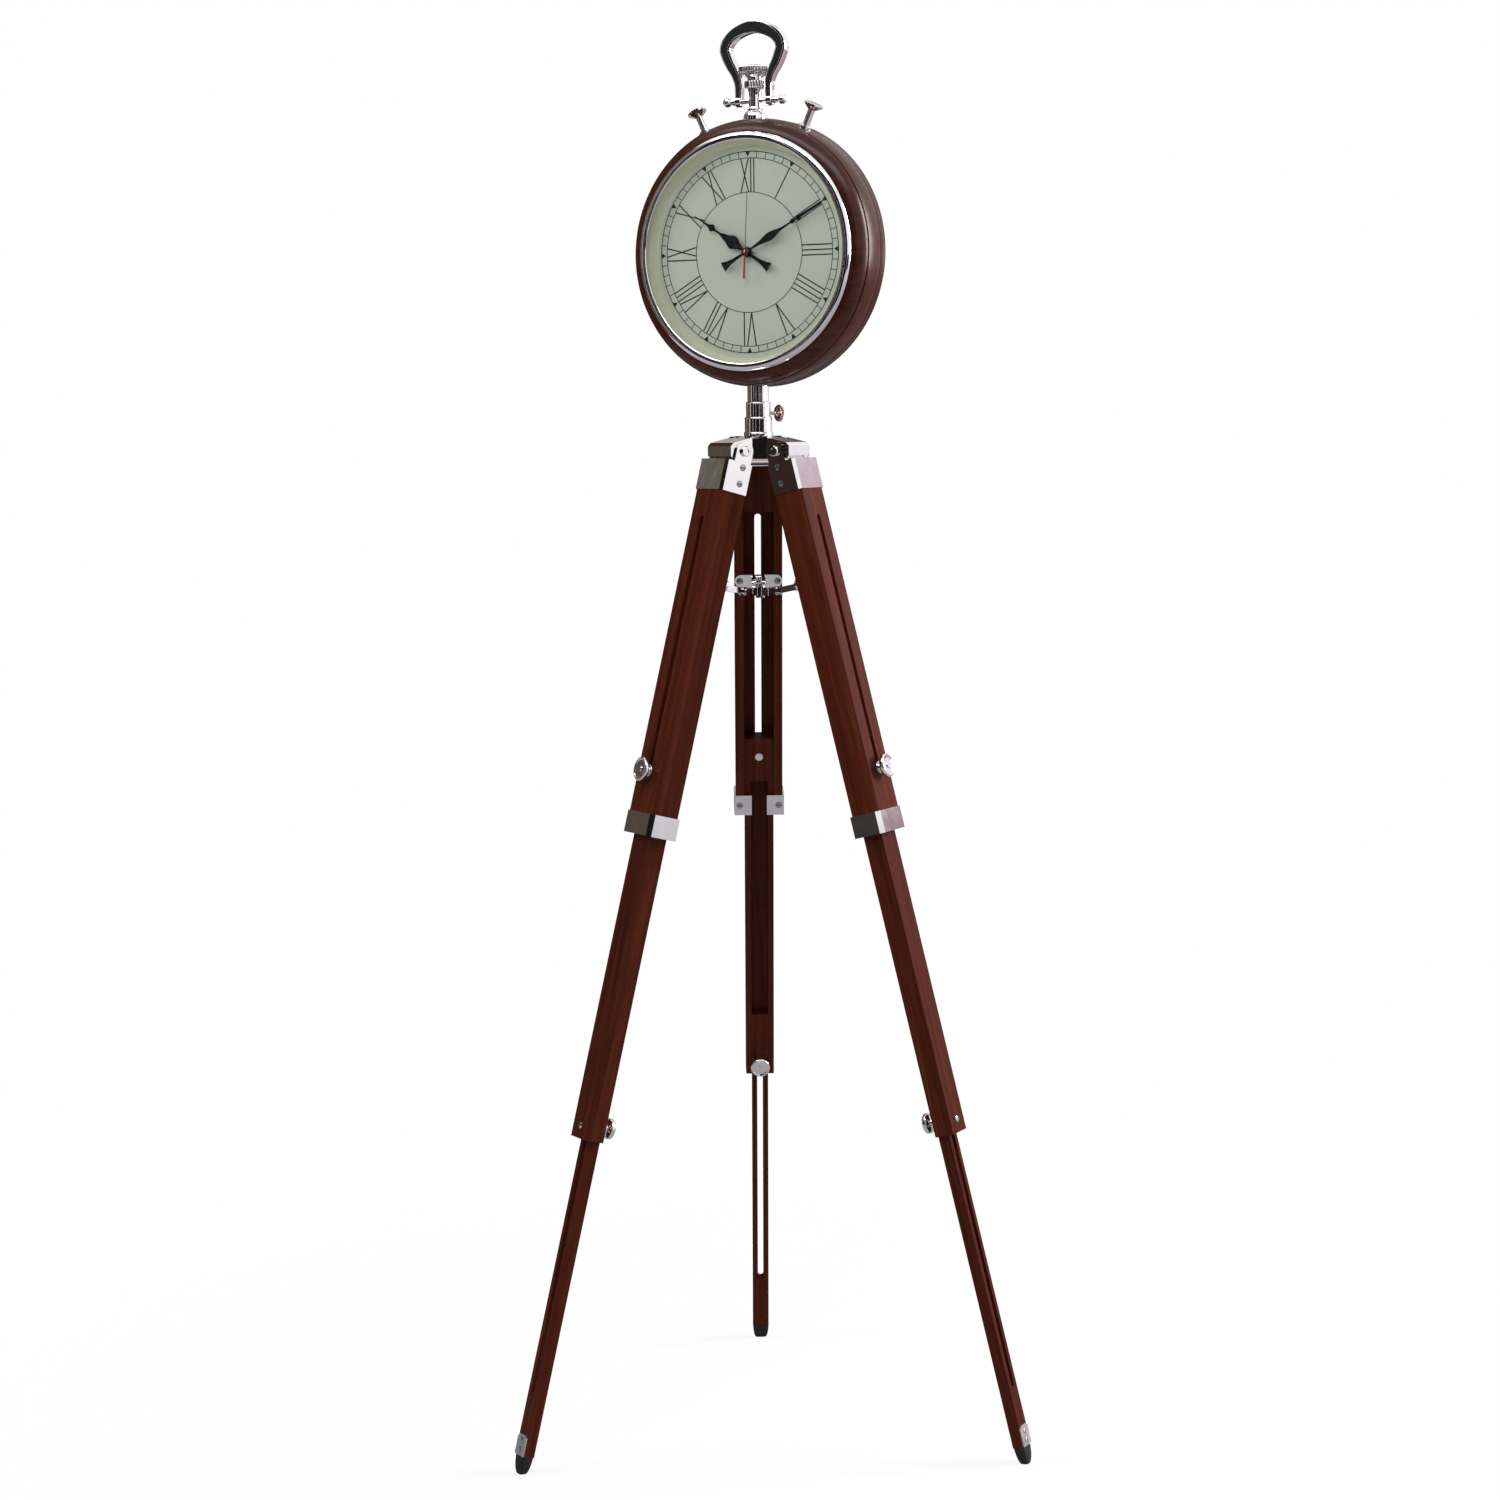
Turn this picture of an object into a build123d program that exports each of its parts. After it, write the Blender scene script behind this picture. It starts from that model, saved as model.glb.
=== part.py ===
from build123d import *
import os
from math import atan2, cos, degrees, hypot, radians, sin, sqrt, tan

# A clock on a folding wooden tripod. Millimetres, +Z up, the feet stand on Z = 0.
# The legs stand at the left front, right front and rear; the dial looks to the front left.
# Everything is built about the tripod's upright axis and moved back by AXIS_Y at the end,
# so that the origin is the middle of the footprint on the floor.

# Stance
LEFT_AZIMUTH = 210
RIGHT_AZIMUTH = 330
REAR_AZIMUTH = 90
LEG_AZIMUTH = {"left": LEFT_AZIMUTH, "right": RIGHT_AZIMUTH, "rear": REAR_AZIMUTH}
SPLAY = 14.6            # degrees each open leg leans from upright
HINGE_R = 33.5          # leg hinge from the tripod axis

# Clearances
SLIDE_GAP = 0.3         # between sliding or swinging flat faces
RUN_GAP = 0.05          # radial, pin in bore
HOLE_GAP = 0.1          # radial, fixed screw in hole
CUT = 1.0               # overrun of cuts past a face

# Upper leg. "Down" sizes are measured from the hinge along the leg.
UPPER_WIDTH = 52.0
UPPER_FRONT = 19.0      # outer face, in front of the hinge line
UPPER_BACK = 12.0       # inner face, behind the hinge line
UPPER_TOP = 13.8
UPPER_END = 417.0
UPPER_FACET = 3.0       # planed corners of the outer face
UPPER_CHEEK = 9.6       # side walls of the channel
UPPER_WALL = 6.8        # outer wall behind the channel
UPPER_CHANNEL_TOP = 65.0
UPPER_SLOT_TOP = 74.0
UPPER_SLOT = 7.2


# Middle leg
MID_LENGTH = 416.0
MID_BOLT_ABOVE = 67.0   # upper clamp bolt above the upper leg's end
MID_BLOCK_ABOVE = 22.0  # solid block above and below that bolt
MID_BLOCK_BELOW = 29.0
MID_INSET = 2.2         # inner face behind the upper leg's inner face
MID_CHEEK = 6.5
MID_WALL = 8.8

# Lower leg
LOWER_LENGTH = 414.0
LOWER_BOLT_ABOVE = 14.0 # lower clamp bolt above the middle leg's end
LOWER_OVERLAP = 62.0    # leg above that bolt
LOWER_SLOT_MARGIN = 63.3
LOWER_SLOT = 6.8

# Leg metalwork
SHEET = 1.2             # plated sheet of the ferrules
TOP_FERRULE_END = 45.5
EAR = 3.0
EAR_RADIUS = 10.0
LOW_SHEET = 1.8
LOW_FACET = 4.5
LOW_FERRULE = 23.5
LOW_FERRULE_PAST = 1.0  # past the upper leg's end
LIP_GAP = 17.0
SCREW_HEAD_R = 3.2
SCREW_HEAD = 0.9
SCREW_R = 1.4
SCREW_LENGTH = 7.0
SCREW_SLOT = 0.9
EDGE_SCREW_INSET = 10.5 # screws from the inner edge of the ferrule sides
TOP_SCREWS_DOWN = (17.5, 35.0)

# Leg bolts and knobs
BOLT_R = 3.0
BOLT_HEAD_R = 4.3
BOLT_HEAD = 3.0
DOME_HEAD_R = 3.6
DOME_HEAD = 1.8
UPPER_KNOB_R = 12.8
UPPER_KNOB_NECK_R = 4.6
UPPER_COLLAR_R = 6.6
UPPER_KNOB_BOSS = 6.5
UPPER_KNOB_DISC = 5.5
LOWER_KNOB_R = 11.0
LOWER_KNOB_NECK_R = 4.4
LOWER_COLLAR_R = 5.6
LOWER_KNOB_BOSS = 9.5
LOWER_KNOB_DISC = 5.5
KNOB_COLLAR = 1.5
KNOB_DISH = 1.0
KNOB_DISH_RIM = 2.0
KNOB_EDGE = 0.7

# Foot
FOOT_PLATE = 1.2
FOOT_PLATE_LENGTH = 22.0
FOOT_PLATE_CORNER = 3.5
FOOT_SCREWS_UP = (6.0, 15.5)
TIP_LENGTH = 19.6       # leg's end to the floor, along the leg
TIP_PROUD = 0.8
TIP_SOLE = 10.0

# Tripod head
PIN_R = 3.0
PIN_HEAD_R = 5.5
PIN_HEAD = 3.2
PIN_EDGE = 0.8
PIN_DISH_R = 3.0
PIN_DISH = 1.2
HEAD_BELOW = 8.3        # head's underside below the hinges
HEAD_SIDE = 17.4
HEAD_RISE = 7.0
HEAD_REACH = 49.0
HEAD_BEVEL = 3.5
WEB_REACH = 32.0        # front of the webs between the lobes
WEB_HALF = 8.5
WEB_BELOW = 0.5         # under the pyramid's peak
WEB_BEVEL = 2.0
FLARE_R = 15.5
FLARE = 3.9
TIER_R = 14.5
TIER = 16.0
SOCKET_R = 13.0
SOCKET = 16.0
SOCKET_BASE = 3.0
TIER_EDGE = 0.8

# Stem tube and its thumb screw
STEM_R = 11.4
STEM_WALL = 1.5
STEM_ROOM = 3.0         # left below the stem at its lowest
STEM_SHOWN = 16.1       # between the socket and the clock case
STEM_ENTRY = 12.6       # depth of the stem's seat in the clock case
STEM_DOWN = 9.0
THUMB_AZIMUTH = 30
THUMB_BELOW = 12.0      # below the socket's top
THUMB_SHANK_R = 2.0
THUMB_SHANK = 9.0       # bare shank between socket and disc
THUMB_R = 9.2
THUMB_DISC = 3.2
THUMB_CONE = 2.6
THUMB_CONE_R = 4.0

# Spreader between the legs
SPREAD_DOWN = 142.5     # pivot below the hinge, along the leg
SPREAD_STAND = 11.0     # pivot behind the upper leg's inner face
SPREAD_HUB_R = 20.0     # pivots from the tripod axis
SPREAD_DROP = 5.5       # hub pivots below the leg pivots
BRACKET_HEIGHT = 14.0
BRACKET_PLATE = 2.5
BRACKET_SCREW_INSET = 5.5
ARM_THICK = 6.0
ARM_DEPTH = 6.5
CHEEK_THICK = 3.2
CHEEK_REACH = 4.5       # cheek past its pivot
HUB_DISC_R = 15.5
HUB_THICK = 9.0
HUB_BOSS_R = 5.0
HUB_BOSS = 3.0
PIVOT_R = 1.8
PIVOT_HEAD_R = 3.0
PIVOT_HEAD = 1.2

# Clock head. "Front" sizes are measured forward from the stem axis.
CLOCK_TURN = -28.8      # degrees the dial is turned to the front left
CASE_R = 140.6
CASE_FRONT = 27.8
CASE_BACK = 27.2
CASE_SHOULDER = 15.8    # case beyond the bezel
CASE_STEP = 1.0         # flat front land round the bezel
GROOVE = 1.2
GROOVE_HALF = 0.8
GROOVE_INSET = 2.9      # front groove inside the case's radius
GROOVE_BACK = 12.8      # front groove behind the case's front
REAR_GROOVE = 10.9      # behind the stem axis
BAND_INSET = 0.3
OVOLO_BULGE = 2.6
BACK_ROUND_INSET = 8.1
BACK_ROUND = 9.0
CORNER_OUT_SHARE = 0.8
CORNER_UP_SHARE = 0.25
LEDGE_DEPTH = 10.0
LEDGE = 4.0
COVER = 2.0
COVER_HOLE_R = 45.0
COVER_SCREW_INSET = 5.0
COVER_GAP = 0.3
COVER_SCREW_COUNT = 4

BEZEL_OVER = 0.8        # bezel over the case's bore
BEZEL_FACE = 8.8
BEZEL_PROUD = 6.0
BEZEL_LIP = 1.4
BEZEL_SKIRT = 7.8
BEZEL_SKIRT_GAP = 0.3
BEZEL_SKIRT_WALL = 1.8
BEZEL_STEP = 1.6
BEZEL_CROWN_SHARE = 0.75
LENS_FIT = 0.3
LENS = 1.8
LENS_GAP = 0.2
DIAL = 1.0
FLANGE = 10.0           # sloping rim of the dial
FLANGE_RISE = 12.3
FLANGE_RIM = 0.8

# Movement behind the dial
BOX = 56.0
BOX_DEPTH = 16.0
BOX_WALL = 1.5
BOX_EDGE = 3.0
WORKS_LOW = 8.0         # works chamber below the hand axis
BATTERY_R = 7.0
BATTERY = 49.0
BATTERY_DOWN = 18.0
BATTERY_NUB_R = 2.5
BATTERY_NUB = 1.5
BATTERY_ROOM = 0.4
BUSH_R = 4.0
BUSH_PROUD = 3.7        # through the dial
NUT_R = 6.0
NUT = 2.4
SETTING_R = 8.0
SETTING = 4.5
SETTING_SHAFT_R = 2.0

# Hands, from the hand axis
HAND = 0.8
HAND_PITCH = 2.2        # from one hand's front to the next
HOUR_PROUD = 5.1        # in front of the dial
ARBOR_DEEP = 4.3        # behind the dial's front
HOUR_TIME = 303.0       # degrees clockwise from twelve
HOUR_LENGTH = 74.0
HOUR_TAIL = 31.0
HOUR_TUBE_R = 2.9
HOUR_COLLAR_R = 5.5
MINUTE_TIME = 61.5
MINUTE_SHORT = 7.6      # inside the dial's flat
MINUTE_TAIL = 31.0
MINUTE_TUBE_R = 1.9
MINUTE_COLLAR_R = 4.6
COLLAR_STEP = 0.6
SECOND_TIME = 3.0
SECOND_LENGTH = 63.0
SECOND_TAIL = 28.0
SECOND_R = 0.9
SECOND_CAP_R = 3.2
SECOND_CAP = 1.4
SECOND_HALF = 0.45
SECOND_TAIL_HALF = 1.1
FISHTAIL_NOTCH = 3.0
HAND_NECK_HALF = 1.6
# Hand outlines: (place, half width) as shares of the length or tail and of the neck
TAIL_SHARES = ((1.0, 3.4), (0.87, 2.5), (0.77, 1.9), (0.65, 1.4), (0.48, 1.1), (0.26, 1.0))
HOUR_SHARES = ((0.05, 1.0), (0.12, 1.6), (0.19, 3.1), (0.27, 4.6), (0.35, 3.2), (0.42, 2.0),
               (0.51, 0.7), (0.60, 0.6), (0.67, 2.5), (0.74, 0.9), (0.81, 0.6))
MINUTE_SHARES = ((0.04, 0.6), (0.135, 0.95), (0.22, 1.85), (0.31, 2.75), (0.39, 1.8), (0.48, 0.8),
                 (0.56, 0.65), (0.60, 1.7), (0.64, 0.7), (0.673, 1.9), (0.71, 0.95), (0.94, 0.8))

# Pendant, crown and bow on top of the case
SEAT_SINK = 1.6         # turned feet let into the case
PENDANT_FOOT_R = 12.2
PENDANT_FOOT = 9.6
PENDANT_R = 8.0
PENDANT_RISE = 30.6     # above the case
PENDANT_INSET = 1.2
PENDANT_BEAD_SHARE = 0.25
PENDANT_WAIST_SHARE = 0.5
PENDANT_NECK_SHARE = 0.83
STUD_R = 4.0
STUD = 10.0
CROWN_RING_R = 10.9
CROWN_RING = 8.2
CROWN_NECK_R = 8.2
CROWN_NECK = 11.8
CROWN_R = 17.0
CROWN_CONE = 5.0
CROWN_RIM = 7.0
CROWN_EDGE = 1.2
CROWN_SHAFT_R = 3.0
CROWN_SHAFT = 8.5
BOW_PIN_RISE = 18.2     # above the case
BOW_PIN_R = 2.4
BOW_NECK = 17.9
BOW_EYE = 8.0
BOW_EYE_R = 5.8
BOW_LINE = (            # half width and height above the pins, pin to crest
    (BOW_NECK, 0), (BOW_NECK, 12.5), (19.2, 20.5), (23.0, 29.1), (28.6, 37.5),
    (33.0, 46.1), (35.4, 54.5), (31.7, 64.4), (20.5, 73.6), (0, 79.2),
)
BOW_STATIONS = 24
BOW_WIDTH = 7.2
BOW_DEPTH = 11.0
BOW_BALL = 32.3
BOW_BALL_R = 5.0
BOW_COLLAR_R = 3.6
BOW_COLLAR = 3.0

# Pushers beside the crown
PUSHER_LEAN = 24.6
PUSHER_R = 3.8
PUSHER_CAP_R = 10.4
PUSHER_CAP = 4.0
PUSHER_RISE = 27.4      # above the case
PUSHER_CONE = 4.0
PUSHER_DEEP = 2.0       # inner end outside the case's bore
BUSH_COLLAR_R = 7.4
BUSH_COLLAR = 5.0
BUSH_SLEEVE_R = 5.8
BUSH_SLEEVE = 11.0

# Sizes that follow
MID_BOLT_DOWN = UPPER_END - MID_BOLT_ABOVE
MID_TOP = MID_BOLT_DOWN - MID_BLOCK_ABOVE
MID_END = MID_TOP + MID_LENGTH
MID_CHANNEL_TOP = MID_BOLT_DOWN + MID_BLOCK_BELOW
LOWER_BOLT_DOWN = MID_END - LOWER_BOLT_ABOVE
LOWER_TOP = LOWER_BOLT_DOWN - LOWER_OVERLAP
LOWER_END = LOWER_TOP + LOWER_LENGTH
LOWER_SLOT_END = LOWER_END - LOWER_SLOT_MARGIN
LEG_LENGTH = LOWER_END + TIP_LENGTH
HINGE_Z = LEG_LENGTH * cos(radians(SPLAY))
LOW_FERRULE_END = UPPER_END + LOW_FERRULE_PAST
LOW_FERRULE_TOP = LOW_FERRULE_END - LOW_FERRULE
HEAD_BOTTOM = HINGE_Z - HEAD_BELOW
HEAD_EDGE = HEAD_BOTTOM + HEAD_SIDE
HEAD_PEAK = HEAD_EDGE + HEAD_RISE
FLARE_TOP = HEAD_PEAK + FLARE
TIER_TOP = FLARE_TOP + TIER
SOCKET_TOP = TIER_TOP + SOCKET
SOCKET_FLOOR = HEAD_BOTTOM + SOCKET_BASE
STEM_BOTTOM = SOCKET_FLOOR + STEM_ROOM + STEM_DOWN
THUMB_Z = SOCKET_TOP - THUMB_BELOW
CLOCK_Z = SOCKET_TOP + STEM_SHOWN + CASE_R
BEZEL_R = CASE_R - CASE_SHOULDER
CASE_BORE = BEZEL_R - BEZEL_OVER
CASE_LAND = BEZEL_R + CASE_STEP
FRONT_GROOVE_R = CASE_R - GROOVE_INSET
FRONT_GROOVE = CASE_FRONT - GROOVE_BACK
BACK_ROUND_R = CASE_R - BACK_ROUND_INSET
LEDGE_R = CASE_BORE - LEDGE_DEPTH
COVER_SCREWS_R = CASE_BORE - COVER_SCREW_INSET
BEZEL_INNER = BEZEL_R - BEZEL_FACE
BEZEL_FRONT = CASE_FRONT + BEZEL_PROUD
BEZEL_SKIRT_END = CASE_FRONT - BEZEL_SKIRT
BEZEL_SKIRT_R = CASE_BORE - BEZEL_SKIRT_GAP
BEZEL_SKIRT_BORE = BEZEL_SKIRT_R - BEZEL_SKIRT_WALL
LENS_R = BEZEL_SKIRT_BORE - LENS_FIT
LENS_FRONT = BEZEL_FRONT - BEZEL_LIP - LENS_GAP
FLANGE_R = LENS_R
FLANGE_FRONT = LENS_FRONT - LENS - LENS_GAP
DIAL_R = FLANGE_R - FLANGE
DIAL_FRONT = FLANGE_FRONT - FLANGE_RISE
BUSH_FRONT = DIAL_FRONT + BUSH_PROUD
HOUR_FRONT = DIAL_FRONT + HOUR_PROUD
MINUTE_FRONT = HOUR_FRONT + HAND_PITCH
SECOND_FRONT = MINUTE_FRONT + HAND_PITCH
ARBOR_BACK = DIAL_FRONT - ARBOR_DEEP
MINUTE_LENGTH = DIAL_R - MINUTE_SHORT
PENDANT_TOP = CASE_R + PENDANT_RISE
CROWN_NECK_TOP = PENDANT_TOP + CROWN_NECK
CROWN_RIM_LOW = CROWN_NECK_TOP + CROWN_CONE
CROWN_TOP = CROWN_RIM_LOW + CROWN_RIM
BOW_PIN_UP = CASE_R + BOW_PIN_RISE
PUSHER_TOP = CASE_R + PUSHER_RISE
PUSHER_INNER = CASE_BORE + PUSHER_DEEP
UPPER_HALF = UPPER_WIDTH / 2
CHANNEL_HALF = UPPER_HALF - UPPER_CHEEK
CHANNEL_FRONT = UPPER_FRONT - UPPER_WALL
MID_HALF = CHANNEL_HALF - SLIDE_GAP
MID_FRONT = CHANNEL_FRONT - SLIDE_GAP
MID_BACK = UPPER_BACK - MID_INSET
MID_CHANNEL_HALF = MID_HALF - MID_CHEEK
MID_CHANNEL_FRONT = MID_FRONT - MID_WALL
LOWER_HALF = MID_CHANNEL_HALF - SLIDE_GAP
LOWER_FRONT = MID_CHANNEL_FRONT - SLIDE_GAP
LOWER_BACK = MID_BACK
FERRULE_HALF = UPPER_HALF + SHEET
FERRULE_FRONT = UPPER_FRONT + SHEET
EAR_INNER = FERRULE_HALF - EAR
LOBE_HALF = EAR_INNER - SLIDE_GAP
FOOT_R = HINGE_R + LEG_LENGTH * sin(radians(SPLAY))
AXIS_Y = -FOOT_R / 4
BOX_BACK = DIAL_FRONT - DIAL - BOX_DEPTH
SPREAD_BACK = UPPER_BACK + SPREAD_STAND


def leg_point(splay, down, front):
    """Radius and height of a point of a leg that leans by the given angle."""
    lean = radians(splay)
    radius = HINGE_R + down * sin(lean) + front * cos(lean)
    height = HINGE_Z - down * cos(lean) + front * sin(lean)
    return radius, height


# The spreader's arms reach from the hub to the open legs.
OPEN_R, OPEN_Z = leg_point(SPLAY, SPREAD_DOWN, -SPREAD_BACK)
HUB_Z = OPEN_Z - SPREAD_DROP
ARM_SPAN = hypot(OPEN_R - SPREAD_HUB_R, SPREAD_DROP)
ARM_OPEN = degrees(atan2(SPREAD_DROP, OPEN_R - SPREAD_HUB_R))


def block(x, y, z):
    """Box between two values on each axis."""
    sides = [pair[1] - pair[0] for pair in (x, y, z)]
    return Pos(sum(x) / 2, sum(y) / 2, sum(z) / 2) * Box(*sides)


def rod(axis, radius, ends, at=(0, 0)):
    """Round bar along x, y or z between two ends, at its two other coordinates."""
    middle = sum(ends) / 2
    place = {"x": (middle, *at), "y": (at[0], middle, at[1]), "z": (*at, middle)}[axis]
    turn = {"x": (0, 90, 0), "y": (90, 0, 0), "z": (0, 0, 0)}[axis]
    return Pos(*place) * Rot(*turn) * Cylinder(radius, abs(ends[1] - ends[0]))


def turned(*points):
    """Body of revolution about Z from an outline of radius and height."""
    return revolve(Plane.XZ * make_face(Polyline(*points, close=True)), Axis.Z)


def drawn(points, thickness):
    """Flat plate in X and Y from its outline."""
    return extrude(make_face(Polyline(*points, close=True)), thickness)


def at_leg(name, shape):
    """Stands a piece of a leg in its place."""
    hinge = Pos(HINGE_R, 0, HINGE_Z) * Rot(0, -SPLAY, 0)
    return Rot(0, 0, LEG_AZIMUTH[name]) * hinge * shape


def at_clock(shape):
    """Sets a piece of the clock head in its place."""
    return Pos(0, 0, CLOCK_Z) * Rot(0, 0, CLOCK_TURN) * shape


def facing(shape):
    """Turns a piece drawn with +Z to the front so that it faces forward."""
    return Rot(90, 0, 0) * shape


def joined(shapes):
    """One solid from touching shapes."""
    whole = shapes[0]
    for shape in shapes[1:]:
        whole += shape
    return whole


def save(name, shapes):
    """Writes one named sub-part."""
    solids = []
    for shape in shapes if isinstance(shapes, list) else [shapes]:
        solids.extend((Pos(0, AXIS_Y, 0) * shape).solids())
    export_step(Compound(solids) if len(solids) > 1 else solids[0], f"parts/{name}.step")


# Leg pieces are drawn upright: +X is the outward side, Z = 0 is the hinge, down is -Z.
def planed(front, back, half, top, end, facet):
    """Leg bar whose two outer corners are planed off."""
    section = [(-back, -half), (front - facet, -half), (front, facet - half),
               (front, half - facet), (front - facet, half), (-back, half)]
    return Pos(0, 0, -end) * drawn(section, end - top)


def slot_cut(width, top, end, front, back):
    """Round-ended slot through a leg's wall."""
    radius = width / 2
    straight = block((-back, front), (-radius, radius), (-end + radius, -top - radius))
    return joined([straight] + [rod("x", radius, (-back, front), (0, z))
                                for z in (-end + radius, -top - radius)])


def screw(slot_along="y"):
    """Slotted dome-head screw pointing along -Z, its head seated on Z = 0."""
    head = turned((0, 0), (SCREW_HEAD_R, 0), (SCREW_HEAD_R, SCREW_HEAD / 3), (0, SCREW_HEAD))
    shank = rod("z", SCREW_R, (-SCREW_LENGTH, 0))
    reach, half = SCREW_HEAD_R + CUT, SCREW_SLOT / 2
    across = ((-half, half), (-reach, reach))
    x, y = across if slot_along == "y" else across[::-1]
    return head + shank - block(x, y, (SCREW_HEAD / 2, SCREW_HEAD + CUT))


def side_screws(down):
    """Pair of screws through the two sides of a ferrule."""
    height = (-(UPPER_BACK - EDGE_SCREW_INSET), -down)
    left = Pos(height[0], -FERRULE_HALF, height[1]) * Rot(90, 0, 0) * screw("x")
    right = Pos(height[0], FERRULE_HALF, height[1]) * Rot(-90, 0, 0) * screw("x")
    return [left, right]


def back_screws(down, half_spacing, seat):
    """Pair of screws through a plate on a leg's inner face."""
    return [Pos(-seat, side * half_spacing, -down) * Rot(0, -90, 0) * screw()
            for side in (-1, 1)]


def leg_screw_set():
    """All screws of one upper leg."""
    screws = [one for down in TOP_SCREWS_DOWN for one in side_screws(down)]
    low = (LOW_FERRULE_TOP + LOW_FERRULE_END) / 2
    screws += back_screws(low, (CHANNEL_HALF + FERRULE_HALF) / 2, UPPER_BACK + LOW_SHEET)
    spread = UPPER_HALF - BRACKET_SCREW_INSET
    screws += back_screws(SPREAD_DOWN, spread, UPPER_BACK + BRACKET_PLATE)
    return screws


def upper_leg(screws):
    """Channelled upper leg with the long slot for the clamp bolt."""
    body = planed(UPPER_FRONT, UPPER_BACK, UPPER_HALF, UPPER_TOP, UPPER_END, UPPER_FACET)
    body -= block((-UPPER_BACK - CUT, CHANNEL_FRONT), (-CHANNEL_HALF, CHANNEL_HALF),
                  (-UPPER_END - CUT, -UPPER_CHANNEL_TOP))
    slot_end = MID_BOLT_DOWN + UPPER_SLOT / 2
    body -= slot_cut(UPPER_SLOT, UPPER_SLOT_TOP, slot_end, UPPER_FRONT + CUT, UPPER_BACK)
    for one in screws:
        body -= one
    return body


def top_ferrule():
    """Cap on the leg's top with the two hinge ears."""
    top = UPPER_TOP - SHEET
    shell = planed(FERRULE_FRONT, UPPER_BACK, FERRULE_HALF, top, TOP_FERRULE_END, UPPER_FACET)
    shell -= planed(UPPER_FRONT, UPPER_BACK + CUT, UPPER_HALF, UPPER_TOP,
                    TOP_FERRULE_END + CUT, UPPER_FACET)
    bore = PIN_R + RUN_GAP
    for side in (-1, 1):
        across = sorted((side * EAR_INNER, side * FERRULE_HALF))
        ear = block((-EAR_RADIUS, EAR_RADIUS), across, (-UPPER_TOP, 0))
        ear += rod("y", EAR_RADIUS, across)
        shell += ear - rod("y", bore, across)
    return shell


def low_ferrule():
    """Band round the leg's end, with two lips that keep the middle leg in."""
    top, end = LOW_FERRULE_TOP, LOW_FERRULE_END
    band = planed(UPPER_FRONT + LOW_SHEET, UPPER_BACK + LOW_SHEET, UPPER_HALF + LOW_SHEET,
                  top, end, LOW_FACET)
    band -= planed(UPPER_FRONT, UPPER_BACK, UPPER_HALF, top - CUT, end + CUT, UPPER_FACET)
    lip = LIP_GAP / 2
    return band - block((-UPPER_BACK - LOW_SHEET - CUT, -UPPER_BACK + CUT), (-lip, lip),
                        (-end - CUT, -top + CUT))


def bracket():
    """Plate across the leg's inner face with two cheeks for the spreader arm."""
    seat, face = UPPER_BACK, UPPER_BACK + BRACKET_PLATE
    high = BRACKET_HEIGHT / 2
    straight = UPPER_HALF - high
    plate = block((-face, -seat), (-straight, straight), (-SPREAD_DOWN - high, -SPREAD_DOWN + high))
    for side in (-1, 1):
        plate += rod("x", high, (-face, -seat), (side * straight, -SPREAD_DOWN))
    inner = ARM_THICK / 2 + SLIDE_GAP
    for side in (-1, 1):
        across = sorted((side * inner, side * (inner + CHEEK_THICK)))
        cheek = block((-SPREAD_BACK, -face), across,
                      (-SPREAD_DOWN - CHEEK_REACH, -SPREAD_DOWN + CHEEK_REACH))
        cheek += rod("y", CHEEK_REACH, across, (-SPREAD_BACK, -SPREAD_DOWN))
        outside = side * (inner + CHEEK_THICK)
        head = sorted((outside, outside + side * PIVOT_HEAD))
        plate += cheek + rod("y", PIVOT_HEAD_R, head, (-SPREAD_BACK, -SPREAD_DOWN))
    return plate


def mid_leg():
    """Channelled middle leg with a solid block at its top."""
    body = block((-MID_BACK, MID_FRONT), (-MID_HALF, MID_HALF), (-MID_END, -MID_TOP))
    body -= block((-MID_BACK - CUT, MID_CHANNEL_FRONT), (-MID_CHANNEL_HALF, MID_CHANNEL_HALF),
                  (-MID_END - CUT, -MID_CHANNEL_TOP))
    for down, head in ((MID_BOLT_DOWN, BOLT_HEAD_R), (LOWER_BOLT_DOWN, 0)):
        body -= rod("x", BOLT_R + HOLE_GAP, (-MID_BACK - CUT, MID_FRONT + CUT), (0, -down))
        if head:
            body -= rod("x", head + HOLE_GAP, (-MID_BACK - CUT, -MID_BACK + BOLT_HEAD), (0, -down))
    return body


def mid_bolt_pair():
    """Clamp bolts: one out to the upper knob, one in to the lower knob."""
    upper_end = UPPER_FRONT + SLIDE_GAP + UPPER_KNOB_BOSS + UPPER_KNOB_DISC
    upper = rod("x", BOLT_R, (-MID_BACK, upper_end), (0, -MID_BOLT_DOWN))
    upper += rod("x", BOLT_HEAD_R, (-MID_BACK, -MID_BACK + BOLT_HEAD), (0, -MID_BOLT_DOWN))
    lower_end = MID_BACK + SLIDE_GAP + LOWER_KNOB_BOSS + LOWER_KNOB_DISC
    lower = rod("x", BOLT_R, (-lower_end, MID_FRONT), (0, -LOWER_BOLT_DOWN))
    dome = turned((0, 0), (DOME_HEAD_R, 0), (DOME_HEAD_R, DOME_HEAD / 3),
                  (DOME_HEAD_R / 2, DOME_HEAD), (0, DOME_HEAD))
    lower += Pos(MID_FRONT, 0, -LOWER_BOLT_DOWN) * Rot(0, 90, 0) * dome
    return [upper, lower]


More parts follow.
